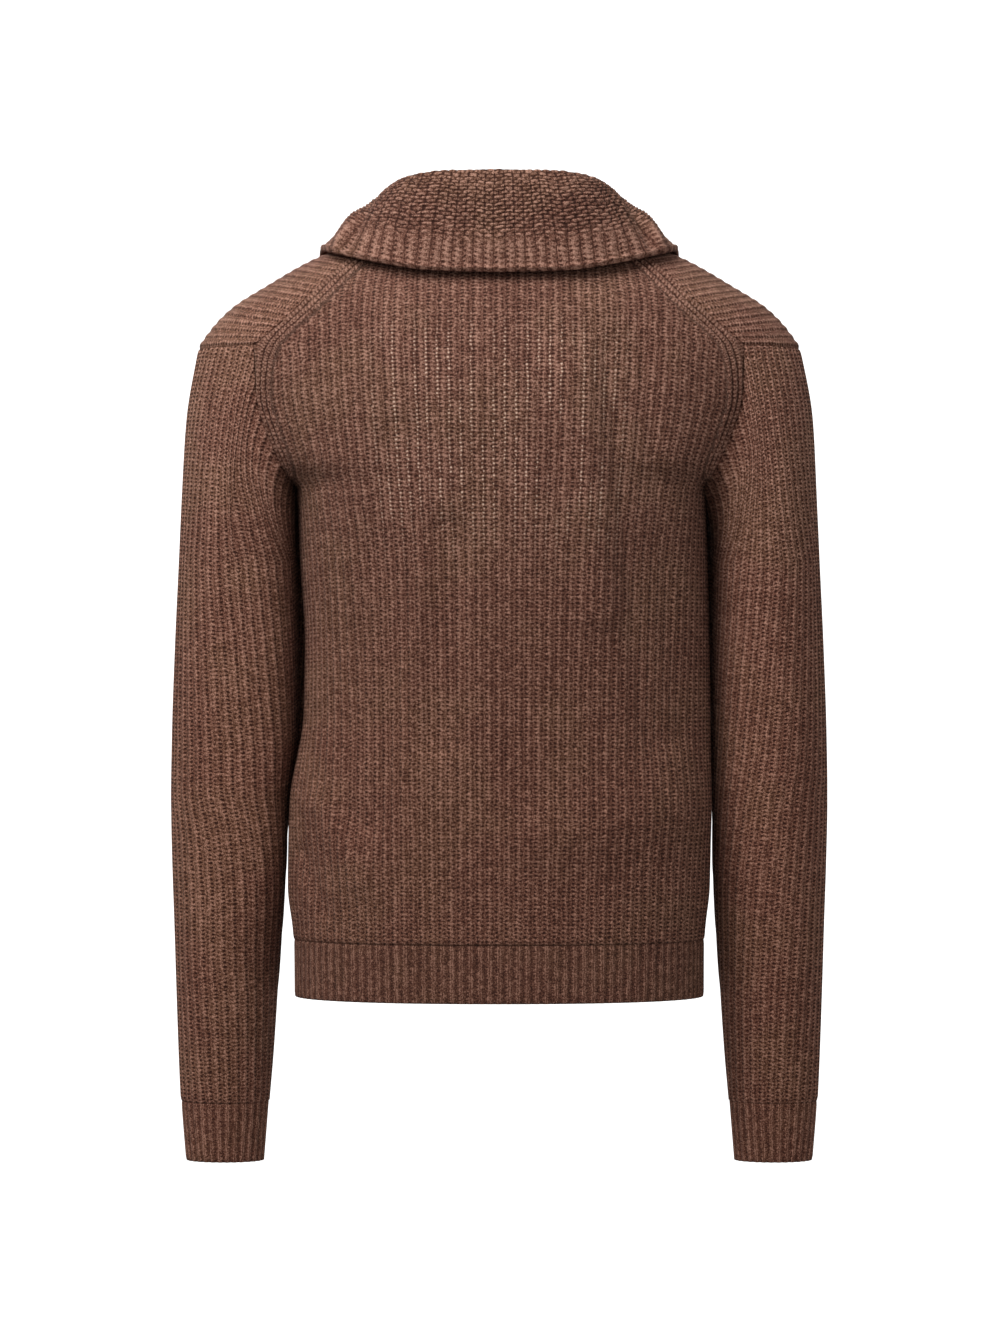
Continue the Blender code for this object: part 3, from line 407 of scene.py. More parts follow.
def wool(name, painted_light_level=1.0, legs=0.0, pits=1.0, bricks=0.0, dots=0.0):
    """Marled wool, with light and shade painted into its colour: painted highlights on the
    stitches of the crests, painted shade in the pits between the stitches and between the
    rows, and the yarn's own flecks and slow drift.

    tone scales all its colours as painted light, so that pieces of the one yarn show lit or
    shaded. legs moves the painted highlight off the crest to both its sides and paints shade
    down the valley, pits scales the painted shade in the pits and between the rows and the
    valley highlight, bricks is the number of brick rows per course near the fold, and dots
    adds pinholes in some of the valleys.
    """
    finish, tree, shader = new_finish(name, {
        "Roughness": 0.9, "Specular IOR Level": 0.2, "Sheen Weight": 0.06,
        "Sheen Roughness": 0.5, "Sheen Tint": SHEEN_TINT})

    def calc(op, a, b=0.0, c=0.0):
        return wire(tree, "ShaderNodeMath", {0: a, 1: b, 2: c}, operation=op)

    def times(a, b, plus=0.0):
        return calc("MULTIPLY_ADD", a, b, plus)

    def tint(share, one, two, how="MIX"):
        return wire(tree, "ShaderNodeMix", {0: share, 6: one, 7: two}, data_type="RGBA",
                    blend_type=how)

    def blend(share, one, two):
        return wire(tree, "ShaderNodeMix", {0: share, 2: one, 3: two}, data_type="FLOAT")

    def noise(scale, detail, vector):
        return wire(tree, "ShaderNodeTexNoise",
                    {"Scale": scale, "Detail": detail, "Vector": vector})

    def chance(x, y, z):
        return wire(tree, "ShaderNodeTexWhiteNoise", {0: joined(x, y, z)})

    def slope(value, low, high):
        return wire(tree, "ShaderNodeMapRange", {0: value, 1: low, 2: high, 3: 0.0, 4: 1.0},
                    interpolation_type="SMOOTHSTEP")

    def joined(x, y, z):
        return wire(tree, "ShaderNodeCombineXYZ", {0: x, 1: y, 2: z})

    def parted(vector):
        return wire(tree, "ShaderNodeSeparateXYZ", {0: vector}).node.outputs

    def away(value, middle):
        return calc("ABSOLUTE", calc("SUBTRACT", value, middle))

    spot = tree.nodes.new("ShaderNodeTexCoord").outputs["Object"]
    place = parted(spot)
    chart = parted(wire(tree, "ShaderNodeUVMap", {}, uv_map="stitches"))
    shake = noise(150.0, 1.0, spot).node.outputs["Color"]
    shake = parted(wire(tree, "ShaderNodeVectorMath", {0: shake, 1: (0.5, 0.5, 0.5)},
                        operation="SUBTRACT"))
    wale = times(shake[0], 0.30, chart[0])
    course = times(shake[1], 0.80, chart[1])
    off_rib = times(calc("PINGPONG", wale, 0.5), 2.0)

    # Every half wale is one column of stitches, and each lies a little off its neighbours.
    column = calc("FLOOR", times(wale, 2.0))
    odd = calc("PINGPONG", column, 1.0)
    shifted = times(calc("FRACT", times(column, 0.377)), 0.14, times(odd, 0.28, course))
    stitch = chance(column, calc("FLOOR", shifted), 0.0)
    loop = times(calc("COSINE", times(shifted, 2 * math.pi)), 0.5, 0.5)

    # Painted highlight on the crest of each stitch, painted shade in the pits and between the
    # rows; the same sum raises the bump.
    crest = times(slope(away(off_rib, legs), 0.26 if legs else 0.74, 0.0),
                  times(stitch, 0.7, 0.65))
    crest = times(crest, times(loop, 0.0 if legs else -0.95, 1.2))
    valley = slope(off_rib, 0.60, 1.0)
    pit_shade = times(slope(away(off_rib, 0.54), 0.36, 0.06), slope(loop, 0.30, 0.92))
    pit_shade = times(pit_shade, times(odd, PIT_ODD - 1.0, 1.0))
    pit_shade = times(pit_shade, times(stitch, -0.6, 1.3))
    shade_and_relief = times(crest, CREST_HIGHLIGHT, times(valley, VALLEY_HIGHLIGHT * pits))
    shade_and_relief = times(pit_shade, -PIT_SHADE * pits, shade_and_relief)
    shade_and_relief = times(slope(loop, 0.4, 1.0), -ROW_SHADE * pits, shade_and_relief)

    # The raised border shows plain loops with painted light and shade on them, and a dark line
    # of painted shade in the grooves between its wales.
    between = times(valley, slope(wale, BORDER_WALE + 0.4, BORDER_WALE + 1.0))
    chain = times(between, -0.62, times(slope(loop, 0.3, 0.9), -0.40, 0.30))
    shade_and_relief = blend(slope(wale, BORDER_WALE - 50.0, BORDER_WALE - 10.0), shade_and_relief, chain)
    # Painted shade down the valleys of the smooth rib.
    if legs:
        shade_and_relief = times(valley, -0.22, shade_and_relief)

    def bricked(rib):
        """Staggered bars near the fold, lighter on their tops as a painted highlight, with
        painted shade between them, and a line of painted shade down each valley below them.
        """
        level = times(course, bricks)
        turn = times(calc("PINGPONG", calc("FLOOR", level), 1.0), 0.5)
        across = calc("ADD", wale, turn)
        hump = times(calc("SINE", times(calc("FRACT", across), math.pi)),
                     calc("SINE", times(calc("FRACT", level), math.pi)))
        bars = times(slope(hump, 0.0, 0.70), 0.58, -0.50)
        bars = times(slope(off_rib, 0.72, 0.98), -0.34, bars)
        brick = chance(calc("FLOOR", across), calc("FLOOR", level), 7.0)
        bars = times(brick, 0.30, bars)
        rib = times(slope(off_rib, 0.74, 0.96), -0.42, calc("ADD", rib, 0.17))
        return blend(slope(course, 3.5, 10.5), rib, bars)

    def pinholed(colour):
        """Pale pinholes in some of the valleys, over the upper middle of the back."""
        zone = times(times(slope(place[2], -0.32, -0.22), slope(place[2], -0.07, -0.11)),
                     slope(away(place[0], 0.0), 0.125, 0.085))
        line = joined(times(wale, 0.9), times(course, 0.03), 5.0)
        chosen = slope(noise(1.0, 1.0, line), 0.40, 0.51)
        hole = slope(calc("ADD", calc("POWER", times(away(off_rib, 1.0), 1.1), 2.0),
                          calc("POWER", away(calc("FRACT", course), 0.5), 2.0)), 0.075, 0.015)
        shown = times(times(zone, chosen), slope(stitch, 0.05, 0.60))
        return tint(times(times(hole, shown), dots), colour, PINHOLE_LIGHT)

    if bricks:
        shade_and_relief = bricked(shade_and_relief)

    fibre = noise(1700.0, 2.0, spot)
    fleck = noise(900.0, 2.0, spot)
    drift = noise(14.0, 2.0, spot)
    streak = noise(1.0, 2.0, joined(times(wale, 1.7), times(course, 0.03), 0.0))
    # The painted light and shade, and the yarn's own flecks, streaks and drift, set where the
    # colour lies between the shaded dark brown and the highlight pale brown.
    light = calc("ADD", shade_and_relief, PLAIN_LIGHT)
    for source, weight in ((stitch, 0.18), (fibre, 1.25), (fleck, 2.05), (streak, 0.40),
                           (drift, 0.24)):
        light = calc("ADD", light, times(source, weight, -0.5 * weight))
    # Painted light: every colour is scaled by the piece's own level, so pieces of the one yarn
    # show lit or shaded.
    dark, warm, olive, pale = (tuple(c * painted_light_level for c in shade) + (1,) for shade in
                               (DARK_FIBRE_AND_SHADE_BROWN, WARM_BROWN, OLIVE_BROWN, PALE_FIBRE_AND_HIGHLIGHT_BROWN))
    middle = tint(slope(drift, 0.42, 0.62), warm, olive)
    colour = tint(slope(light, 0.0, 0.46), dark, middle)
    colour = tint(slope(light, 0.42, 1.10), colour, pale)
    # Painted shade: the colour darkens and browns towards the hem, where the light from above
    # falls off.
    painted_low_shade = tint(slope(place[2], -0.52, -0.16), LOW_SHADE_TINT, (1, 1, 1, 1))
    colour = tint(1.0, colour, painted_low_shade, how="MULTIPLY")
    if dots:
        colour = pinholed(colour)
    tree.links.new(colour, shader.inputs["Base Color"])

    raised = times(fibre, 0.5, shade_and_relief)
    bump = wire(tree, "ShaderNodeBump", {"Distance": 0.0008, "Height": raised})
    tree.links.new(bump, shader.inputs["Normal"])
    return finish


def soft_folds(table, place):
    """How far the cloth stands out for its soft folds, each a ridge or valley on a line."""
    total = np.zeros(len(place))
    flat = place[:, (0, 2)]
    for *start, x_low, z_low, width, rise in table:
        way = np.array((x_low, z_low)) - start
        share = np.clip((flat - start) @ way / (way @ way), 0.0, 1.0)
        off = np.linalg.norm(flat - start - share[:, None] * way, axis=1)
        total += rise * np.exp(-(off / width) ** 2)
    return total


def back_relief(wale, course, edge, place):
    """Plain rib, with the border beside the shoulder seam and the armhole."""
    x, z = np.abs(place[:, 0]), place[:, 2]
    near = np.minimum(edge[:, 0], edge[:, 1])
    above = z > HEAD_Z
    end = np.where(above, read(SHOULDER, EDGE_COLUMNS, "half_width", z),
                   read(ARMHOLE, EDGE_COLUMNS, "half_width", z))
    to_armhole = near + np.where(above, ARMHOLE_LEAN * (CORNER_X - end), 0.0)
    to_seam = SQUARE_TO_SEAM * (
        near + np.where(above, 0.0, CORNER_X - end + SEAM_LEAN * (HEAD_Z - z)))
    off = np.maximum(0.0, -CORNER_SOFT * np.log(
        np.exp(-to_armhole / CORNER_SOFT) + np.exp(-to_seam / CORNER_SOFT)))
    slant = ALONG_SEAM * ((x - CORNER_X) - (z - HEAD_Z))
    turn = ease(-CORNER_TURN, CORNER_TURN, to_seam - to_armhole)
    along = turn * (HEAD_Z - z) + (1 - turn) * slant
    in_border = (off < BORDER_WIDTH) & (z > UNDERARM_Z + BORDER_FOOT)
    hug = np.exp(-(near / HUG_WIDTH) ** 2) * ease(*HUG_LOW, z) * ease(*HUG_HIGH, z)
    at_underarm = np.sign(wale) * (UNDERARM_WALES - near / (2 * half_rib(HUG_Z)))
    bent = wale + hug * (at_underarm - wale)
    rise = BACK_RISE - (BACK_RISE - BACK_RISE_HIGH) * ease(*BACK_RISE_FADE, z)
    border = BORDER_RISE * round_rib(off / BORDER_PITCH - 0.5)
    folds = soft_folds(BACK_FOLDS, place) * ease(0.0, FOLD_FADE, edge.min(axis=1))
    return (np.where(in_border, border, rise * round_rib(bent)) + folds,
            np.where(in_border, BORDER_WALE + 0.5 + off / BORDER_PITCH, bent),
            np.where(in_border, along / COURSE, course))


UNDERARM_WALES = running(back_half(HUG_Z, 1))[-1] / (2 * half_rib(HUG_Z))
back_levels = np.concatenate([np.arange(HEM_SEAM_Z, HEAD_Z, ROW),
                              np.linspace(HEAD_Z, NECK_TOP_Z, YOKE_ROWS)])
back = knit("knit_back", [back_row(z) for z in back_levels], back_relief, flip=True)
# Painted light: the back is scaled a little darker.
back.data.materials.append(wool("wool_back", painted_light_level=0.97, dots=0.8))
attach(back, "root")
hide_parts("back")

# ---------------- Fronts
# Two panels whose inner edges slope into the V. Their wales run up the chest and on over
# the shoulder, and end on the back at the slanting shoulder seam.
BREAK_Z, BAND_HALF, NECK_POINT = -0.270, 0.0175, 0.098
FRONT_EDGE = (HEM_SEAM_Z, -0.53, -0.445, -0.36, BREAK_Z, -0.216, -0.187, -0.160, -0.132, HEAD_Z)
FRONT_SIDE = (HEM_SEAM_Z, -0.54, -0.46, -0.38, -0.30, UNDERARM_Z, -0.196, -0.166, -0.136, HEAD_Z)
CHEST_ROWS, CAP_ROWS, FRONT_PITCH = 244, 46, 0.0066
FRONT_RISE, FRONT_RISE_HIGH, FRONT_RISE_FADE = 0.0014, 0.0010, (-0.12, -0.05)


def front_angle(height, side):
    """Angle of the edge that the band or the collar is sewn to."""
    edge_x = np.interp(height, (BREAK_Z, 0.0), (BAND_HALF, NECK_POINT))
    return -float(angle_at(edge_x, height, side))


def front_row(edge_height, side_height, side):
    angle = np.linspace(front_angle(edge_height, side), -side_angle(side_height, side),
                        ROW_POINTS)
    points = body_point(np.linspace(edge_height, side_height, ROW_POINTS), angle, side)
    return points, (abs(points[0][0]) + running(points)) / FRONT_PITCH


def cap_rows(side):
    """Up the chest to the shoulder line, then over it and down to the seam on the back."""
    first, last = (front_row(HEAD_Z, HEAD_Z, side)[1][k] for k in (0, -1))
    found = []
    for share in np.linspace(0, 1, CAP_ROWS)[1:]:
        edge_height = HEAD_Z * (1 - share)
        start = front_angle(edge_height, side) if share < 1 else 0.0
        angle = np.linspace(start, -side_angle(HEAD_Z, side) * (1 - share), ROW_POINTS)
        found.append(body_point(np.linspace(edge_height, HEAD_Z, ROW_POINTS), angle, side))
    for share in np.linspace(0, 1, CAP_ROWS)[1:]:
        height = np.linspace(NECK_TOP_Z * share, HEAD_Z, ROW_POINTS)
        seam = np.array([side_angle(min(h, NECK_TOP_Z), side) if h > HEAD_Z + 1e-6
                         else side_angle(HEAD_Z, side) for h in height])
        found.append(body_point(height, seam * share, side))
    out = []
    for points in found:
        length = running(points)
        out.append((points, first + (last - first) * length / length[-1]))
    return out


def front_relief(wale, course, edge, place):
    rise = FRONT_RISE - (FRONT_RISE - FRONT_RISE_HIGH) * ease(*FRONT_RISE_FADE, place[:, 2])
    return rise * round_rib(wale), wale, course


marks = range(len(FRONT_SIDE))
climb = (np.array(FRONT_SIDE) - HEM_SEAM_Z) / (HEAD_Z - HEM_SEAM_Z)
at_mark = np.interp(np.linspace(0, 1, CHEST_ROWS), climb, marks)
chest_pairs = list(zip(np.interp(at_mark, marks, FRONT_EDGE),
                       np.interp(at_mark, marks, FRONT_SIDE)))
fronts = {}
for side, word in SIDES.items():
    rows = [front_row(a, b, side) for a, b in chest_pairs] + cap_rows(side)
    piece = knit(f"knit_front_{word}", rows, front_relief, flip=side < 0)
    # Painted light: the fronts, which show over the shoulders, are scaled lighter.
    piece.data.materials.append(wool(f"wool_front_{word}", painted_light_level=1.14))
    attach(piece, "root")
    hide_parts(f"front_{word}")
    fronts[side] = rows

# ---------------- Hem bands
# A plain smooth 1x1 rib, knitted straight on from each panel and drawn in a little.
HEM_ROWS, HEM_RISE = 28, 0.0009


def hem_relief(wale, course, edge, place):
    return HEM_RISE * np.abs(np.cos(np.pi * wale)) ** 1.3, wale, course


hem_levels = np.linspace(HEM_Z, HEM_SEAM_Z, HEM_ROWS)
hems = {"hem_back": ([back_row(z) for z in hem_levels], True, (0.440, 0.0500)),
        "hem_left": ([front_row(z, z, 1) for z in hem_levels], False, (0.205, 0.0500)),
        "hem_right": ([front_row(z, z, -1) for z in hem_levels], True, (0.205, 0.0500))}
for node, (rows, flip, cut) in hems.items():
    piece = knit(f"knit_{node}", rows, hem_relief, flip=flip)
    # Painted shade: the hem bands are scaled darker.
    piece.data.materials.append(wool(f"wool_{node}", painted_light_level=0.84, legs=0.30, pits=0.35))
    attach(piece, "root")
    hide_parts(node)

# ---------------- Sleeves
# Each is one tapering piece, sewn straight across the head and down both sides of the
# armhole. Its wales hang straight, and the sewn line runs along the underarm.
ARM_COLUMNS = ("height", "outer", "inner_left", "inner_right", "middle", "half_depth")
ARM = (
    (-0.8125, 0.2742, 0.2068, 0.2066, -0.039, 0.027),
    (-0.7595, 0.2780, 0.2025, 0.2022, -0.036, 0.036),
    (-0.6600, 0.2815, 0.1950, 0.1945, -0.031, 0.050),
    (-0.6000, 0.2830, 0.1905, 0.1902, -0.027, 0.056),
    (-0.5480, 0.2845, 0.1873, 0.1878, -0.024, 0.060),
    (-0.5000, 0.2853, 0.1858, 0.1874, -0.021, 0.062),
    (-0.4400, 0.2843, 0.1790, 0.1876, -0.018, 0.064),
    (-0.3600, 0.2812, 0.1778, 0.1876, -0.013, 0.067),
    (-0.2900, 0.2776, 0.1784, 0.1872, -0.008, 0.070),
    (-0.2260, 0.2744, 0.1776, 0.1834, -0.004, 0.073),
    (-0.1650, 0.2706, 0.1660, 0.1690, -0.002, 0.075),
    (-0.1050, 0.2604, 0.1480, 0.1480, 0.000, 0.076),
)
SWEEP_COLUMNS = ("along", "turn")
SWEEP = ((0.0, 0.0), (0.5, 83.0), (0.625, 96.0), (0.75, 114.0), (0.875, 141.0), (1.0, 180.0))
TOP_WALES, FREE_Z, CUFF_SEAM_Z, CUFF_Z = 24.0, -0.290, -0.7595, -0.8125
WALES_DOWN = ((-0.7595, 15.0), (-0.665, 16.0), (-0.57, 18.0), (-0.475, 20.0), (-0.38, 22.0),
              (-0.29, 24.0))
SWEEP_AT, SEAM_EASE, SLEEVE_RISE = 0.4, 2.7, 0.0016
# The inner front of each sleeve leans in on the body: how far, and where it fades out.
LEAN_TURN, LEAN_SPREAD, LEAN_TOP = -2.55, 0.38, (-0.205, -0.232)
LEAN = {1: (0.0185, -0.53, -0.485), -1: (0.0130, -0.505, -0.462)}
# The inner back corner is filled out: how far, and where that starts and ends.
SQUARE_BACK, SQUARE_LOW, SQUARE_TOP = {1: 0.38, -1: 0.18}, (-0.66, -0.56), (-0.16, -0.26)
HEAD_ROWS, ARM_ROW, RING_POINTS, TURN_POINTS, SEAM_POINTS = 84, 0.0021, 181, 241, 60


def arm_size(name, height):
    return read(ARM, ARM_COLUMNS, name, height)


def arm_point(height, turn, side):
    """Turn 0 is the outermost line, half a turn is the underarm."""
    outer = arm_size("outer", height)
    inner = arm_size(f"inner_{SIDES[side]}", height)
    cos, sin = np.cos(turn), np.sin(turn)
    square = SQUARE_BACK[side] * ease(*SQUARE_LOW, height) * ease(*SQUARE_TOP, height)
    power = 1 - square * ((cos < 0) & (sin > 0))
    x = (outer + inner) / 2 + (outer - inner) / 2 * np.sign(cos) * np.abs(cos) ** power
    y = (arm_size("middle", height)
         + arm_size("half_depth", height) * np.sign(sin) * np.abs(sin) ** power)
    depth, *fade = LEAN[side]
    beside = (turn - LEAN_TURN + math.pi) % (2 * math.pi) - math.pi
    x = x - (depth * np.exp(-(beside / LEAN_SPREAD) ** 2) * ease(*LEAN_TOP, height)
             * ease(*fade, height))
    return np.stack(np.broadcast_arrays(side * x, y, height), axis=-1)


def even_turns(height, shares, side):
    """Turns at even lengths round a level section, from underarm to underarm."""
    turn = np.linspace(-math.pi, math.pi, TURN_POINTS)
    length = running(arm_point(np.full(TURN_POINTS, height), turn, side))
    return np.interp(shares * length[-1], length, turn)


def armhole_loop(side):
    """From the underarm up the front, over the head and down the back, by wale number."""
    rows = fronts[side]
    front = np.array([r[0][-1] for r in rows[:CHEST_ROWS]])
    front = front[front[:, 2] >= UNDERARM_Z - 1e-4]
    over = np.array([r[0][-1] for r in rows[CHEST_ROWS - 1:]])
    down = np.array([back_half(z, side)[-1]
                     for z in np.linspace(HEAD_Z, UNDERARM_Z, SEAM_POINTS)])
    wales, points = [], []
    for stretch, low, high in ((front, -TOP_WALES, -TOP_WALES / 2),
                               (over, -TOP_WALES / 2, TOP_WALES / 2),
                               (down, TOP_WALES / 2, TOP_WALES)):
        length = running(stretch)
        at = np.linspace(0, 1, SEAM_POINTS + 1)[:-1]
        points.append(resample(at, length / length[-1], stretch))
        wales.append(low + at * (high - low))
    return (np.vstack(points + [down[-1:]]), np.concatenate(wales + [[TOP_WALES]]))


def level_ring(height, half_wales, side):
    """A level row round the arm, with the same wales on both sides of its outer line."""
    shares = np.linspace(0, 1, RING_POINTS)
    turns = even_turns(height, shares, side)
    return (arm_point(np.full(RING_POINTS, height), turns, side),
            (shares * 2 - 1) * half_wales)


def sleeve_rows(side):
    """From the armhole, turned bit by bit to level rings, and on down to the cuff."""
    seam, wales = armhole_loop(side)
    part = wales / TOP_WALES
    outer = arm_size("outer", seam[:, 2])
    inner = arm_size(f"inner_{SIDES[side]}", seam[:, 2])
    turn = np.unwrap(np.arctan2(
        (seam[:, 1] - arm_size("middle", seam[:, 2]))
        / arm_size("half_depth", seam[:, 2]),
        (side * seam[:, 0] - (outer + inner) / 2) / ((outer - inner) / 2)))
    turn += -math.pi - turn[0]
    drift = seam - arm_point(seam[:, 2], turn, side)
    bent = np.sign(part) * np.radians(read(SWEEP, SWEEP_COLUMNS, "turn", np.abs(part)))
    even = even_turns(FREE_Z, (part + 1) / 2, side)
    rows = []
    for v in np.linspace(0, 1, HEAD_ROWS):
        blend = [(v - SWEEP_AT) * (v - 1) / SWEEP_AT, v * (v - 1) / (SWEEP_AT * (SWEEP_AT - 1)),
                 v * (v - SWEEP_AT) / (1 - SWEEP_AT)]
        now = turn * blend[0] + bent * blend[1] + even * blend[2]
        height = seam[:, 2] * (1 - v) + FREE_Z * v
        rows.append((arm_point(height, now, side) + drift * (1 - v) ** SEAM_EASE, wales))
    for level in np.arange(FREE_Z - ARM_ROW, CUFF_SEAM_Z, -ARM_ROW).tolist() + [CUFF_SEAM_Z]:
        rows.append(level_ring(level, float(np.interp(level, *zip(*WALES_DOWN))), side))
    return rows


def sleeve_relief(wale, course, edge, place):
    """The courses lie level up from the cuff, and the shaped top cuts across them."""
    return SLEEVE_RISE * round_rib(wale), wale, edge[:, 3] / COURSE


for side, word in SIDES.items():
    piece = knit(f"knit_sleeve_{word}", sleeve_rows(side), sleeve_relief, flip=side > 0)
    # Painted light: the sleeves are scaled lighter.
    piece.data.materials.append(wool(f"wool_sleeve_{word}", painted_light_level=1.18))
    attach(piece, "root")
    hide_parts(f"sleeve_{word}")

# ---------------- Cuffs
# The same smooth 1x1 rib as the hem, closed to a tube by the sleeve's own seam.
CUFF_WALES, CUFF_ROWS = 15.0, 28
cuff_levels = np.linspace(CUFF_SEAM_Z, CUFF_Z, CUFF_ROWS)
for side, word in SIDES.items():
    rows = [level_ring(z, CUFF_WALES, side) for z in cuff_levels]
    piece = knit(f"knit_cuff_{word}", rows, hem_relief, flip=side > 0)
    # Painted light: the cuffs are scaled lighter.
    piece.data.materials.append(wool(f"wool_cuff_{word}", painted_light_level=1.15, legs=0.30, pits=0.35))
    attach(piece, "root")
    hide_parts(f"cuff_{word}")

# ---------------- Collar
# A broad shawl collar of the same yarn on a coarser stitch, sewn round the neck and
# folded over. Staggered bars show near the fold, and a chain finishes the free edge.
COLLAR_COLUMNS = ("along", "fold_x", "fold_y", "fold_z", "edge_x", "edge_y", "edge_z",
                  "facing", "bulge")
COLLAR = (
    (0.00, 0.0000, 0.0860, 0.0410, 0.0000, 0.1060, -0.0455, 90, 0.004),
    (0.12, 0.0450, 0.0820, 0.0405, 0.0580, 0.1010, -0.0435, 76, 0.004),
    (0.21, 0.0780, 0.0600, 0.0370, 0.1080, 0.0830, -0.0345, 48, 0.003),
    (0.28, 0.0880, 0.0300, 0.0335, 0.1460, 0.0450, -0.0235, 22, 0.002),
    (0.34, 0.0910, -0.0050, 0.0300, 0.1545, -0.0080, -0.0190, -6, 0.000),
    (0.375, 0.0885, -0.0260, 0.0200, 0.1560, -0.0330, -0.0275, -25, 0.002),
    (0.41, 0.0820, -0.0500, 0.0030, 0.1560, -0.0620, -0.0560, -45, 0.006),
    (0.50, 0.0620, -0.0890, -0.0500, 0.1460, -0.0880, -0.0980, -76, 0.006),
    (0.65, 0.0390, -0.1130, -0.1200, 0.1180, -0.1060, -0.1560, -86, 0.005),
    (0.80, 0.0215, -0.1250, -0.1850, 0.0860, -0.1180, -0.2120, -90, 0.004),
    (0.92, 0.0100, -0.1290, -0.2370, 0.0500, -0.1285, -0.2500, -90, 0.003),
    (1.00, 0.0062, -0.1295, -0.2660, 0.0340, -0.1310, -0.2650, -90, 0.001),
)
FOLD_RADIUS, FOLD_REACH, FOLD_SHARE = 0.0042, 0.010, 0.4
COLLAR_PITCH, STAND_ROWS, FALL_ROWS, SECTION_POINTS = 0.0092, 34, 112, 200
COLLAR_COURSE, BRICK_HIGH, BRICK_RISE, STITCH_RISE = 0.00425, 0.0033, 0.0019, 0.0011
# Fades by the distance from the free edge, and CREASE_BACK by how far back a place is.
BARS_START, BARS_END, BARS_FLAT = (0.016, 0.045), (0.112, 0.100), (0.070, 0.085)
CREASE_START, CREASE_END, CREASE_BACK = (0.0, 0.012), (0.115, 0.095), (0.01, 0.035)
CHAIN_RISE, CHAIN_IN, CHAIN_WIDTH = 0.0016, 0.0028, 0.0016
# A crease and a soft ridge cross the fall at each side, in the columns of BACK_FOLDS.
CREASE = (0.1017, 0.0330, 0.1330, -0.0290, 0.0035, -0.0055)
RIDGE = (0.1097, 0.0330, 0.1410, -0.0290, 0.006, 0.0040)


def neck_line():
    """The seam from the centre of the back round to the break of the V, left side."""
    behind = back_half(NECK_TOP_Z, 1)
    edge = np.array([r[0][0] for r in fronts[1]])
    edge = edge[edge[:, 2] >= BREAK_Z - 1e-4] if edge[0, 2] < BREAK_Z else edge
    return np.vstack([behind, edge[-2::-1]])


def collar_sections(points, side):
    """One section of the collar at each seam point: up, over the fold and down."""
    share = running(points) / running(points)[-1]
    at = {name: read(COLLAR, COLLAR_COLUMNS, name, share) for name in COLLAR_COLUMNS[1:]}
    seam = points * (side, 1, 1)
    fold, edge = (np.stack([side * at[f"{line}_x"], at[f"{line}_y"], at[f"{line}_z"]], axis=1)
                  for line in ("fold", "edge"))
    facing = np.radians(at["facing"])
    out = np.stack([side * np.cos(facing), np.sin(facing), np.zeros_like(facing)], axis=1)
    run = unit(np.gradient(fold, axis=0))
    out = unit(out - run * np.sum(out * run, axis=1, keepdims=True))
    crest = unit(np.cross(run, out)) * side
    stand = np.linalg.norm(fold - seam, axis=1, keepdims=True)
    reach = np.minimum(FOLD_REACH, stand * FOLD_SHARE)
    before = fold - out * FOLD_RADIUS - crest * reach
    after = fold + out * FOLD_RADIUS + unit(edge - fold) * reach
    over = unit(np.cross(run, edge - after)) * side
    middle = (after + edge) / 2 + over * at["bulge"][:, None]
    controls = np.stack([seam, (seam + before) / 2, before, fold, after, middle, edge], axis=1)
    return np.array([section(c) for c in controls])


def section(control):
    """A smooth curve through the control points, with the fold at a row of its own."""
    length = running(control)
    dense = np.linspace(0, length[-1], SECTION_POINTS)
    slopes = np.gradient(control, length, axis=0)
    k = np.clip(np.searchsorted(length, dense) - 1, 0, len(length) - 2)
    step = (length[k + 1] - length[k])[:, None]
    curve = hermite((dense - length[k])[:, None] / step, step, control[k], control[k + 1],
                    slopes[k], slopes[k + 1])
    fold_at = length[3] / length[-1]
    shares = np.concatenate([np.linspace(0, fold_at, STAND_ROWS)[:-1],
                             np.linspace(fold_at, 1, FALL_ROWS)])
    total = running(curve)
    return resample(shares * total[-1], total, curve)


def collar_relief(wale, course, edge, place):
    """Bars near the fold, plain rib below, a crease at each side, a chain at the edge."""
    fall = edge[:, 3]
    near_fold = ease(*BARS_START, fall) * ease(*BARS_END, fall)
    uneven = fall + 0.0007 * (np.sin(1.7 * wale) + np.sin(0.61 * wale + 1.0))
    level = uneven / BRICK_HIGH
    across = np.sin(np.pi * ((wale + 0.5 * (np.floor(level) % 2)) % 1.0))
    brick = (BRICK_RISE * (across * np.sin(np.pi * (level % 1.0))) ** 0.6
             * (1 - 0.5 * ease(*BARS_FLAT, fall)))
    rib = (STITCH_RISE * round_rib(wale)
           * (0.85 + 0.15 * np.cos(2 * np.pi * fall / COLLAR_COURSE)))
    chain = CHAIN_RISE * np.exp(-((fall - CHAIN_IN) / CHAIN_WIDTH) ** 2)
    mirrored = np.abs(place) * (1, 0, 0) + place * (0, 1, 1)
    behind = (ease(*CREASE_BACK, place[:, 1]) * ease(*CREASE_START, fall)
              * ease(*CREASE_END, fall))
    height = brick * near_fold + rib * (1 - near_fold)
    return (height * ease(0.0, 0.004, fall) + chain
            + soft_folds((CREASE, RIDGE), mirrored) * behind, wale, uneven / COLLAR_COURSE)


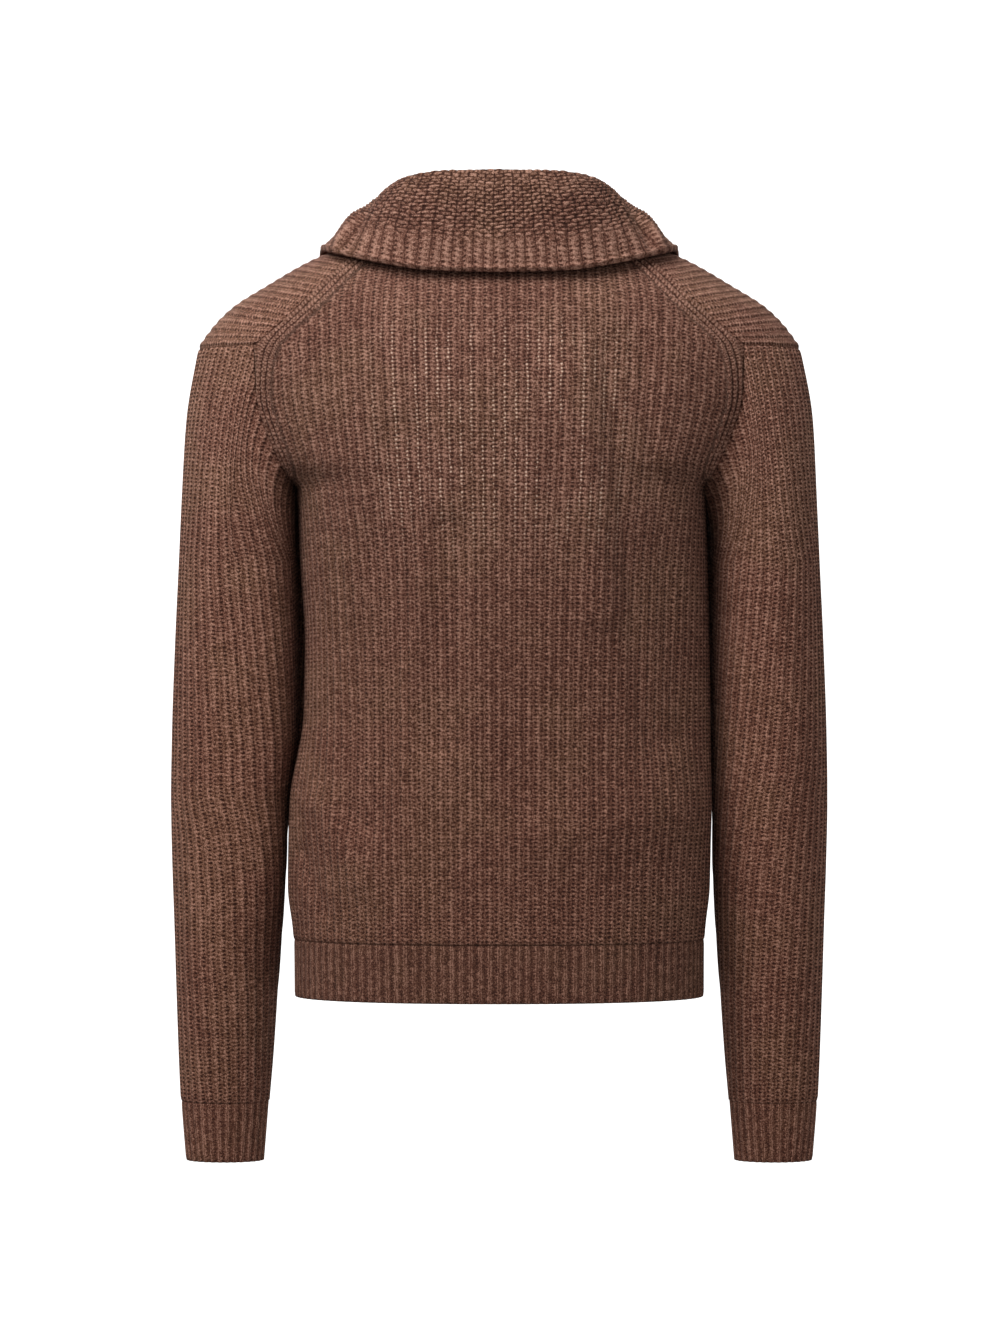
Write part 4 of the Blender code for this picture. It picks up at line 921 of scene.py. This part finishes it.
collar_seam = neck_line()
seam_length = running(collar_seam)
seam_steps = int(round(seam_length[-1] / (COLLAR_PITCH / COLUMNS_PER_WALE)))
collar_seam = resample(np.linspace(0, seam_length[-1], seam_steps + 1), seam_length, collar_seam)
stations = np.concatenate([collar_sections(collar_seam, -1)[:0:-1],
                           collar_sections(collar_seam, 1)])
collar_wales = (np.arange(len(stations)) - len(collar_seam) + 1) / COLUMNS_PER_WALE
collar = knit("knit_collar", [(stations[:, r], collar_wales) for r in range(len(stations[0]))],
              collar_relief, lift=WALL)
collar.data.materials.append(wool("wool_collar", pits=0.7, bricks=COLLAR_COURSE / BRICK_HIGH))
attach(collar, "root")
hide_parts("collar")

# ---------------- Button bands
# Two narrow strips knitted crosswise and sewn down the front edges. The left one, with
# the buttonholes, lies on the right one, which carries the buttons.
BAND_PITCH, BAND_RISE, BAND_ROWS, BAND_POINTS = 0.0086, 0.0011, 20, 260
LAP_RISE, LAP_SINK = 0.0050, 0.0048
BUTTON_HEIGHTS = (-0.292, -0.381, -0.470, -0.559, -0.643)
HOLE_MIDDLE, HOLE_HALF, HOLE_GAP, HOLE_EDGE = 0.0035, 0.0115, 0.0011, 0.0012
EDGE_OFF, EDGE_WIDTH, HOLE_PLAIN = 0.0022, 0.0010, (0.0010, 0.0040)


def band_rows(side):
    height = np.linspace(HEM_Z, BREAK_Z, BAND_POINTS)
    lap = -LAP_RISE if side > 0 else LAP_SINK
    rows = []
    for share in np.linspace(0, 1, BAND_ROWS):
        x = BAND_HALF * (1 - 2 * share)
        y = body_point(height, -angle_at(abs(x), height, 1), 1)[:, 1] + lap * share
        points = np.stack([np.full(BAND_POINTS, side * x), y, height], axis=1)
        rows.append((points, running(points) / BAND_PITCH))
    return rows


def band_relief(wale, course, edge, place):
    return BAND_RISE * round_rib(wale) * ease(0.0, 0.003, edge[:, 3]), wale, course


def buttonhole_relief(wale, course, edge, place):
    """The band's rib, with a whipped buttonhole under each button."""
    height, map_u, map_v = band_relief(wale, course, edge, place)
    for middle in BUTTON_HEIGHTS:
        beyond = np.maximum(np.abs(place[:, 0] - HOLE_MIDDLE) - HOLE_HALF, 0.0)
        off = np.hypot(beyond, place[:, 2] - middle)
        height = height * ease(*HOLE_PLAIN, off) + HOLE_EDGE * np.exp(
            -((off - EDGE_OFF) / EDGE_WIDTH) ** 2) - HOLE_EDGE * np.exp(-(off / HOLE_GAP) ** 2)
    return height, map_u, map_v


for side, relief in ((1, buttonhole_relief), (-1, band_relief)):
    word = SIDES[side]
    piece = knit(f"knit_band_{word}", band_rows(side), relief, flip=side < 0)
    # Painted light: the bands are scaled a little darker.
    piece.data.materials.append(wool(f"wool_band_{word}", painted_light_level=0.97, pits=0.7))
    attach(piece, "root")
    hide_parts(f"band_{word}")

# ---------------- Buttons
# Turned discs of dark horn-look resin with a raised rim and four holes, sewn on with
# brown thread that crosses the holes in two short bars.
BUTTON_RADIUS, BUTTON_CLEAR, DISH_RADIUS, RIB_RISE = 0.0105, 0.0004, 0.0076, 0.0012
HOLE_OFF, HOLE_RADIUS, FLOOR_THICK, FLOOR_SOFT = 0.0024, 0.0010, 0.0026, 0.0003
THREAD_RADIUS, THREAD_ARCH = 0.0006, 0.0012
HORN_DARK, HORN_PALE = (0.022, 0.012, 0.008, 1), (0.110, 0.058, 0.030, 1)
THREAD_DARK, THREAD_PALE = (0.050, 0.025, 0.016, 1), (0.160, 0.085, 0.055, 1)


def horn():
    finish, tree, shader = new_finish("dark_horn", {
        "Roughness": 0.32, "Coat Weight": 0.35, "Coat Roughness": 0.18})
    spot = tree.nodes.new("ShaderNodeTexCoord").outputs["Object"]
    pulled = wire(tree, "ShaderNodeVectorMath", {0: spot, 1: (1.0, 1.0, 0.35)},
                  operation="MULTIPLY")
    cloud = wire(tree, "ShaderNodeTexNoise", {"Scale": 330.0, "Detail": 4.0, "Vector": pulled,
                                              "Distortion": 0.8})
    share = wire(tree, "ShaderNodeMapRange", {0: cloud, 1: 0.42, 2: 0.66, 3: 0.0, 4: 1.0})
    tree.links.new(wire(tree, "ShaderNodeMix", {0: share, 6: HORN_DARK, 7: HORN_PALE},
                        data_type="RGBA"), shader.inputs["Base Color"])
    return finish


def thread():
    finish, tree, shader = new_finish("brown_thread", {"Roughness": 0.7})
    spot = tree.nodes.new("ShaderNodeTexCoord").outputs["Object"]
    ply = wire(tree, "ShaderNodeTexWave", {"Scale": 900.0, "Distortion": 1.5, "Vector": spot},
               bands_direction="DIAGONAL")
    tree.links.new(wire(tree, "ShaderNodeMix", {0: ply, 6: THREAD_DARK, 7: THREAD_PALE},
                        data_type="RGBA"), shader.inputs["Base Color"])
    return finish


def circle(radius, steps):
    turns = [2 * math.pi * k / steps for k in range(steps)]
    return [(radius * math.cos(a), radius * math.sin(a)) for a in turns]


def turned(profile, steps=48):
    """A closed profile of (radius, rise) turned round the button's axis, rise towards -Y."""
    verts = [(x, -rise, z) for radius, rise in profile for x, z in circle(radius, steps)]
    faces = []
    for ring in range(len(profile)):
        low, high = ring * steps, (ring + 1) % len(profile) * steps
        for k in range(steps):
            after = (k + 1) % steps
            faces.append((low + k, low + after, high + after, high + k))
    return verts, faces


def pierced_floor():
    """The thin middle of the button with its four holes, filled between closed rings."""
    curve = bpy.data.curves.new("floor", "CURVE")
    curve.dimensions, curve.fill_mode = "2D", "BOTH"
    curve.extrude, curve.bevel_depth = FLOOR_THICK / 2 - FLOOR_SOFT, FLOOR_SOFT
    curve.bevel_resolution = 2
    rings = [(0, 0, DISH_RADIUS, 48)] + [(x, y, HOLE_RADIUS, 16)
                                         for x in (-HOLE_OFF, HOLE_OFF)
                                         for y in (-HOLE_OFF, HOLE_OFF)]
    for x, y, radius, steps in rings:
        spline = curve.splines.new("POLY")
        spline.points.add(steps - 1)
        spline.use_cyclic_u = True
        for point, (across, up) in zip(spline.points, circle(radius, steps)):
            point.co = (x + across, y + up, 0, 1)
    holder = bpy.data.objects.new("floor", curve)
    scene.collection.objects.link(holder)
    mesh = bpy.data.meshes.new_from_object(
        holder.evaluated_get(bpy.context.evaluated_depsgraph_get()))
    verts = [(v.co.x, -FLOOR_THICK / 2 - v.co.z, v.co.y) for v in mesh.vertices]
    faces = [tuple(p.vertices)[::-1] for p in mesh.polygons]
    bpy.data.objects.remove(holder)
    bpy.data.meshes.remove(mesh)
    bpy.data.curves.remove(curve)
    return verts, faces


def stitch_bar(x):
    """A thread that rises from one hole and goes down the next, as a thin closed tube."""
    verts, faces, sides, stops = [], [], 8, 13
    for k in range(stops):
        t = math.pi * k / (stops - 1)
        z = -HOLE_OFF * math.cos(t)
        y = THREAD_RADIUS - FLOOR_THICK - THREAD_ARCH * math.sin(t) ** 0.6
        tilt = math.atan2(THREAD_ARCH * math.cos(t), HOLE_OFF * math.sin(t) + 1e-6)
        for across, up in circle(THREAD_RADIUS, sides):
            verts.append((x + across, y - up * math.cos(tilt), z - up * math.sin(tilt)))
    for k in range(stops - 1):
        for j in range(sides):
            a, b = k * sides + j, k * sides + (j + 1) % sides
            faces.append((a, a + sides, b + sides, b))
    faces += [tuple(range(sides)), tuple(range(len(verts) - sides, len(verts)))[::-1]]
    return verts, faces


RIM_PROFILE = (
    (0.0074, 0.0003), (0.0096, 0.0007), (0.0103, 0.0016), (0.0105, 0.0026), (0.0102, 0.0036),
    (0.0095, 0.0042), (0.0088, 0.0041), (0.0082, 0.0034), (0.0077, 0.0027), (0.0074, 0.0025),
)
horn_finish, thread_finish = horn(), thread()
lap = LAP_RISE * (0.5 + BUTTON_RADIUS / (2 * BAND_HALF))
for k, height in enumerate(BUTTON_HEIGHTS, 1):
    seat = body_point(height, -math.pi / 2, 1)[1] - lap - RIB_RISE - BUTTON_CLEAR
    verts, faces, slots = [], [], []
    for part, material_slot in ((turned(RIM_PROFILE), 0), (pierced_floor(), 0),
                                (stitch_bar(-HOLE_OFF), 1), (stitch_bar(HOLE_OFF), 1)):
        base = len(verts)
        verts += [(x, y + seat, z + height) for x, y, z in part[0]]
        faces += [tuple(v + base for v in f) for f in part[1]]
        slots += [material_slot] * len(part[1])
    piece = new_piece(f"sewn_button_{k}", verts, faces)
    mesh = piece.data
    mesh.materials.append(horn_finish)
    mesh.materials.append(thread_finish)
    mesh.polygons.foreach_set("material_index", slots)
    mesh.shade_smooth()
    mesh.set_sharp_from_angle(angle=math.radians(40))
    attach(piece, "root")
    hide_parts(f"button_{k}")
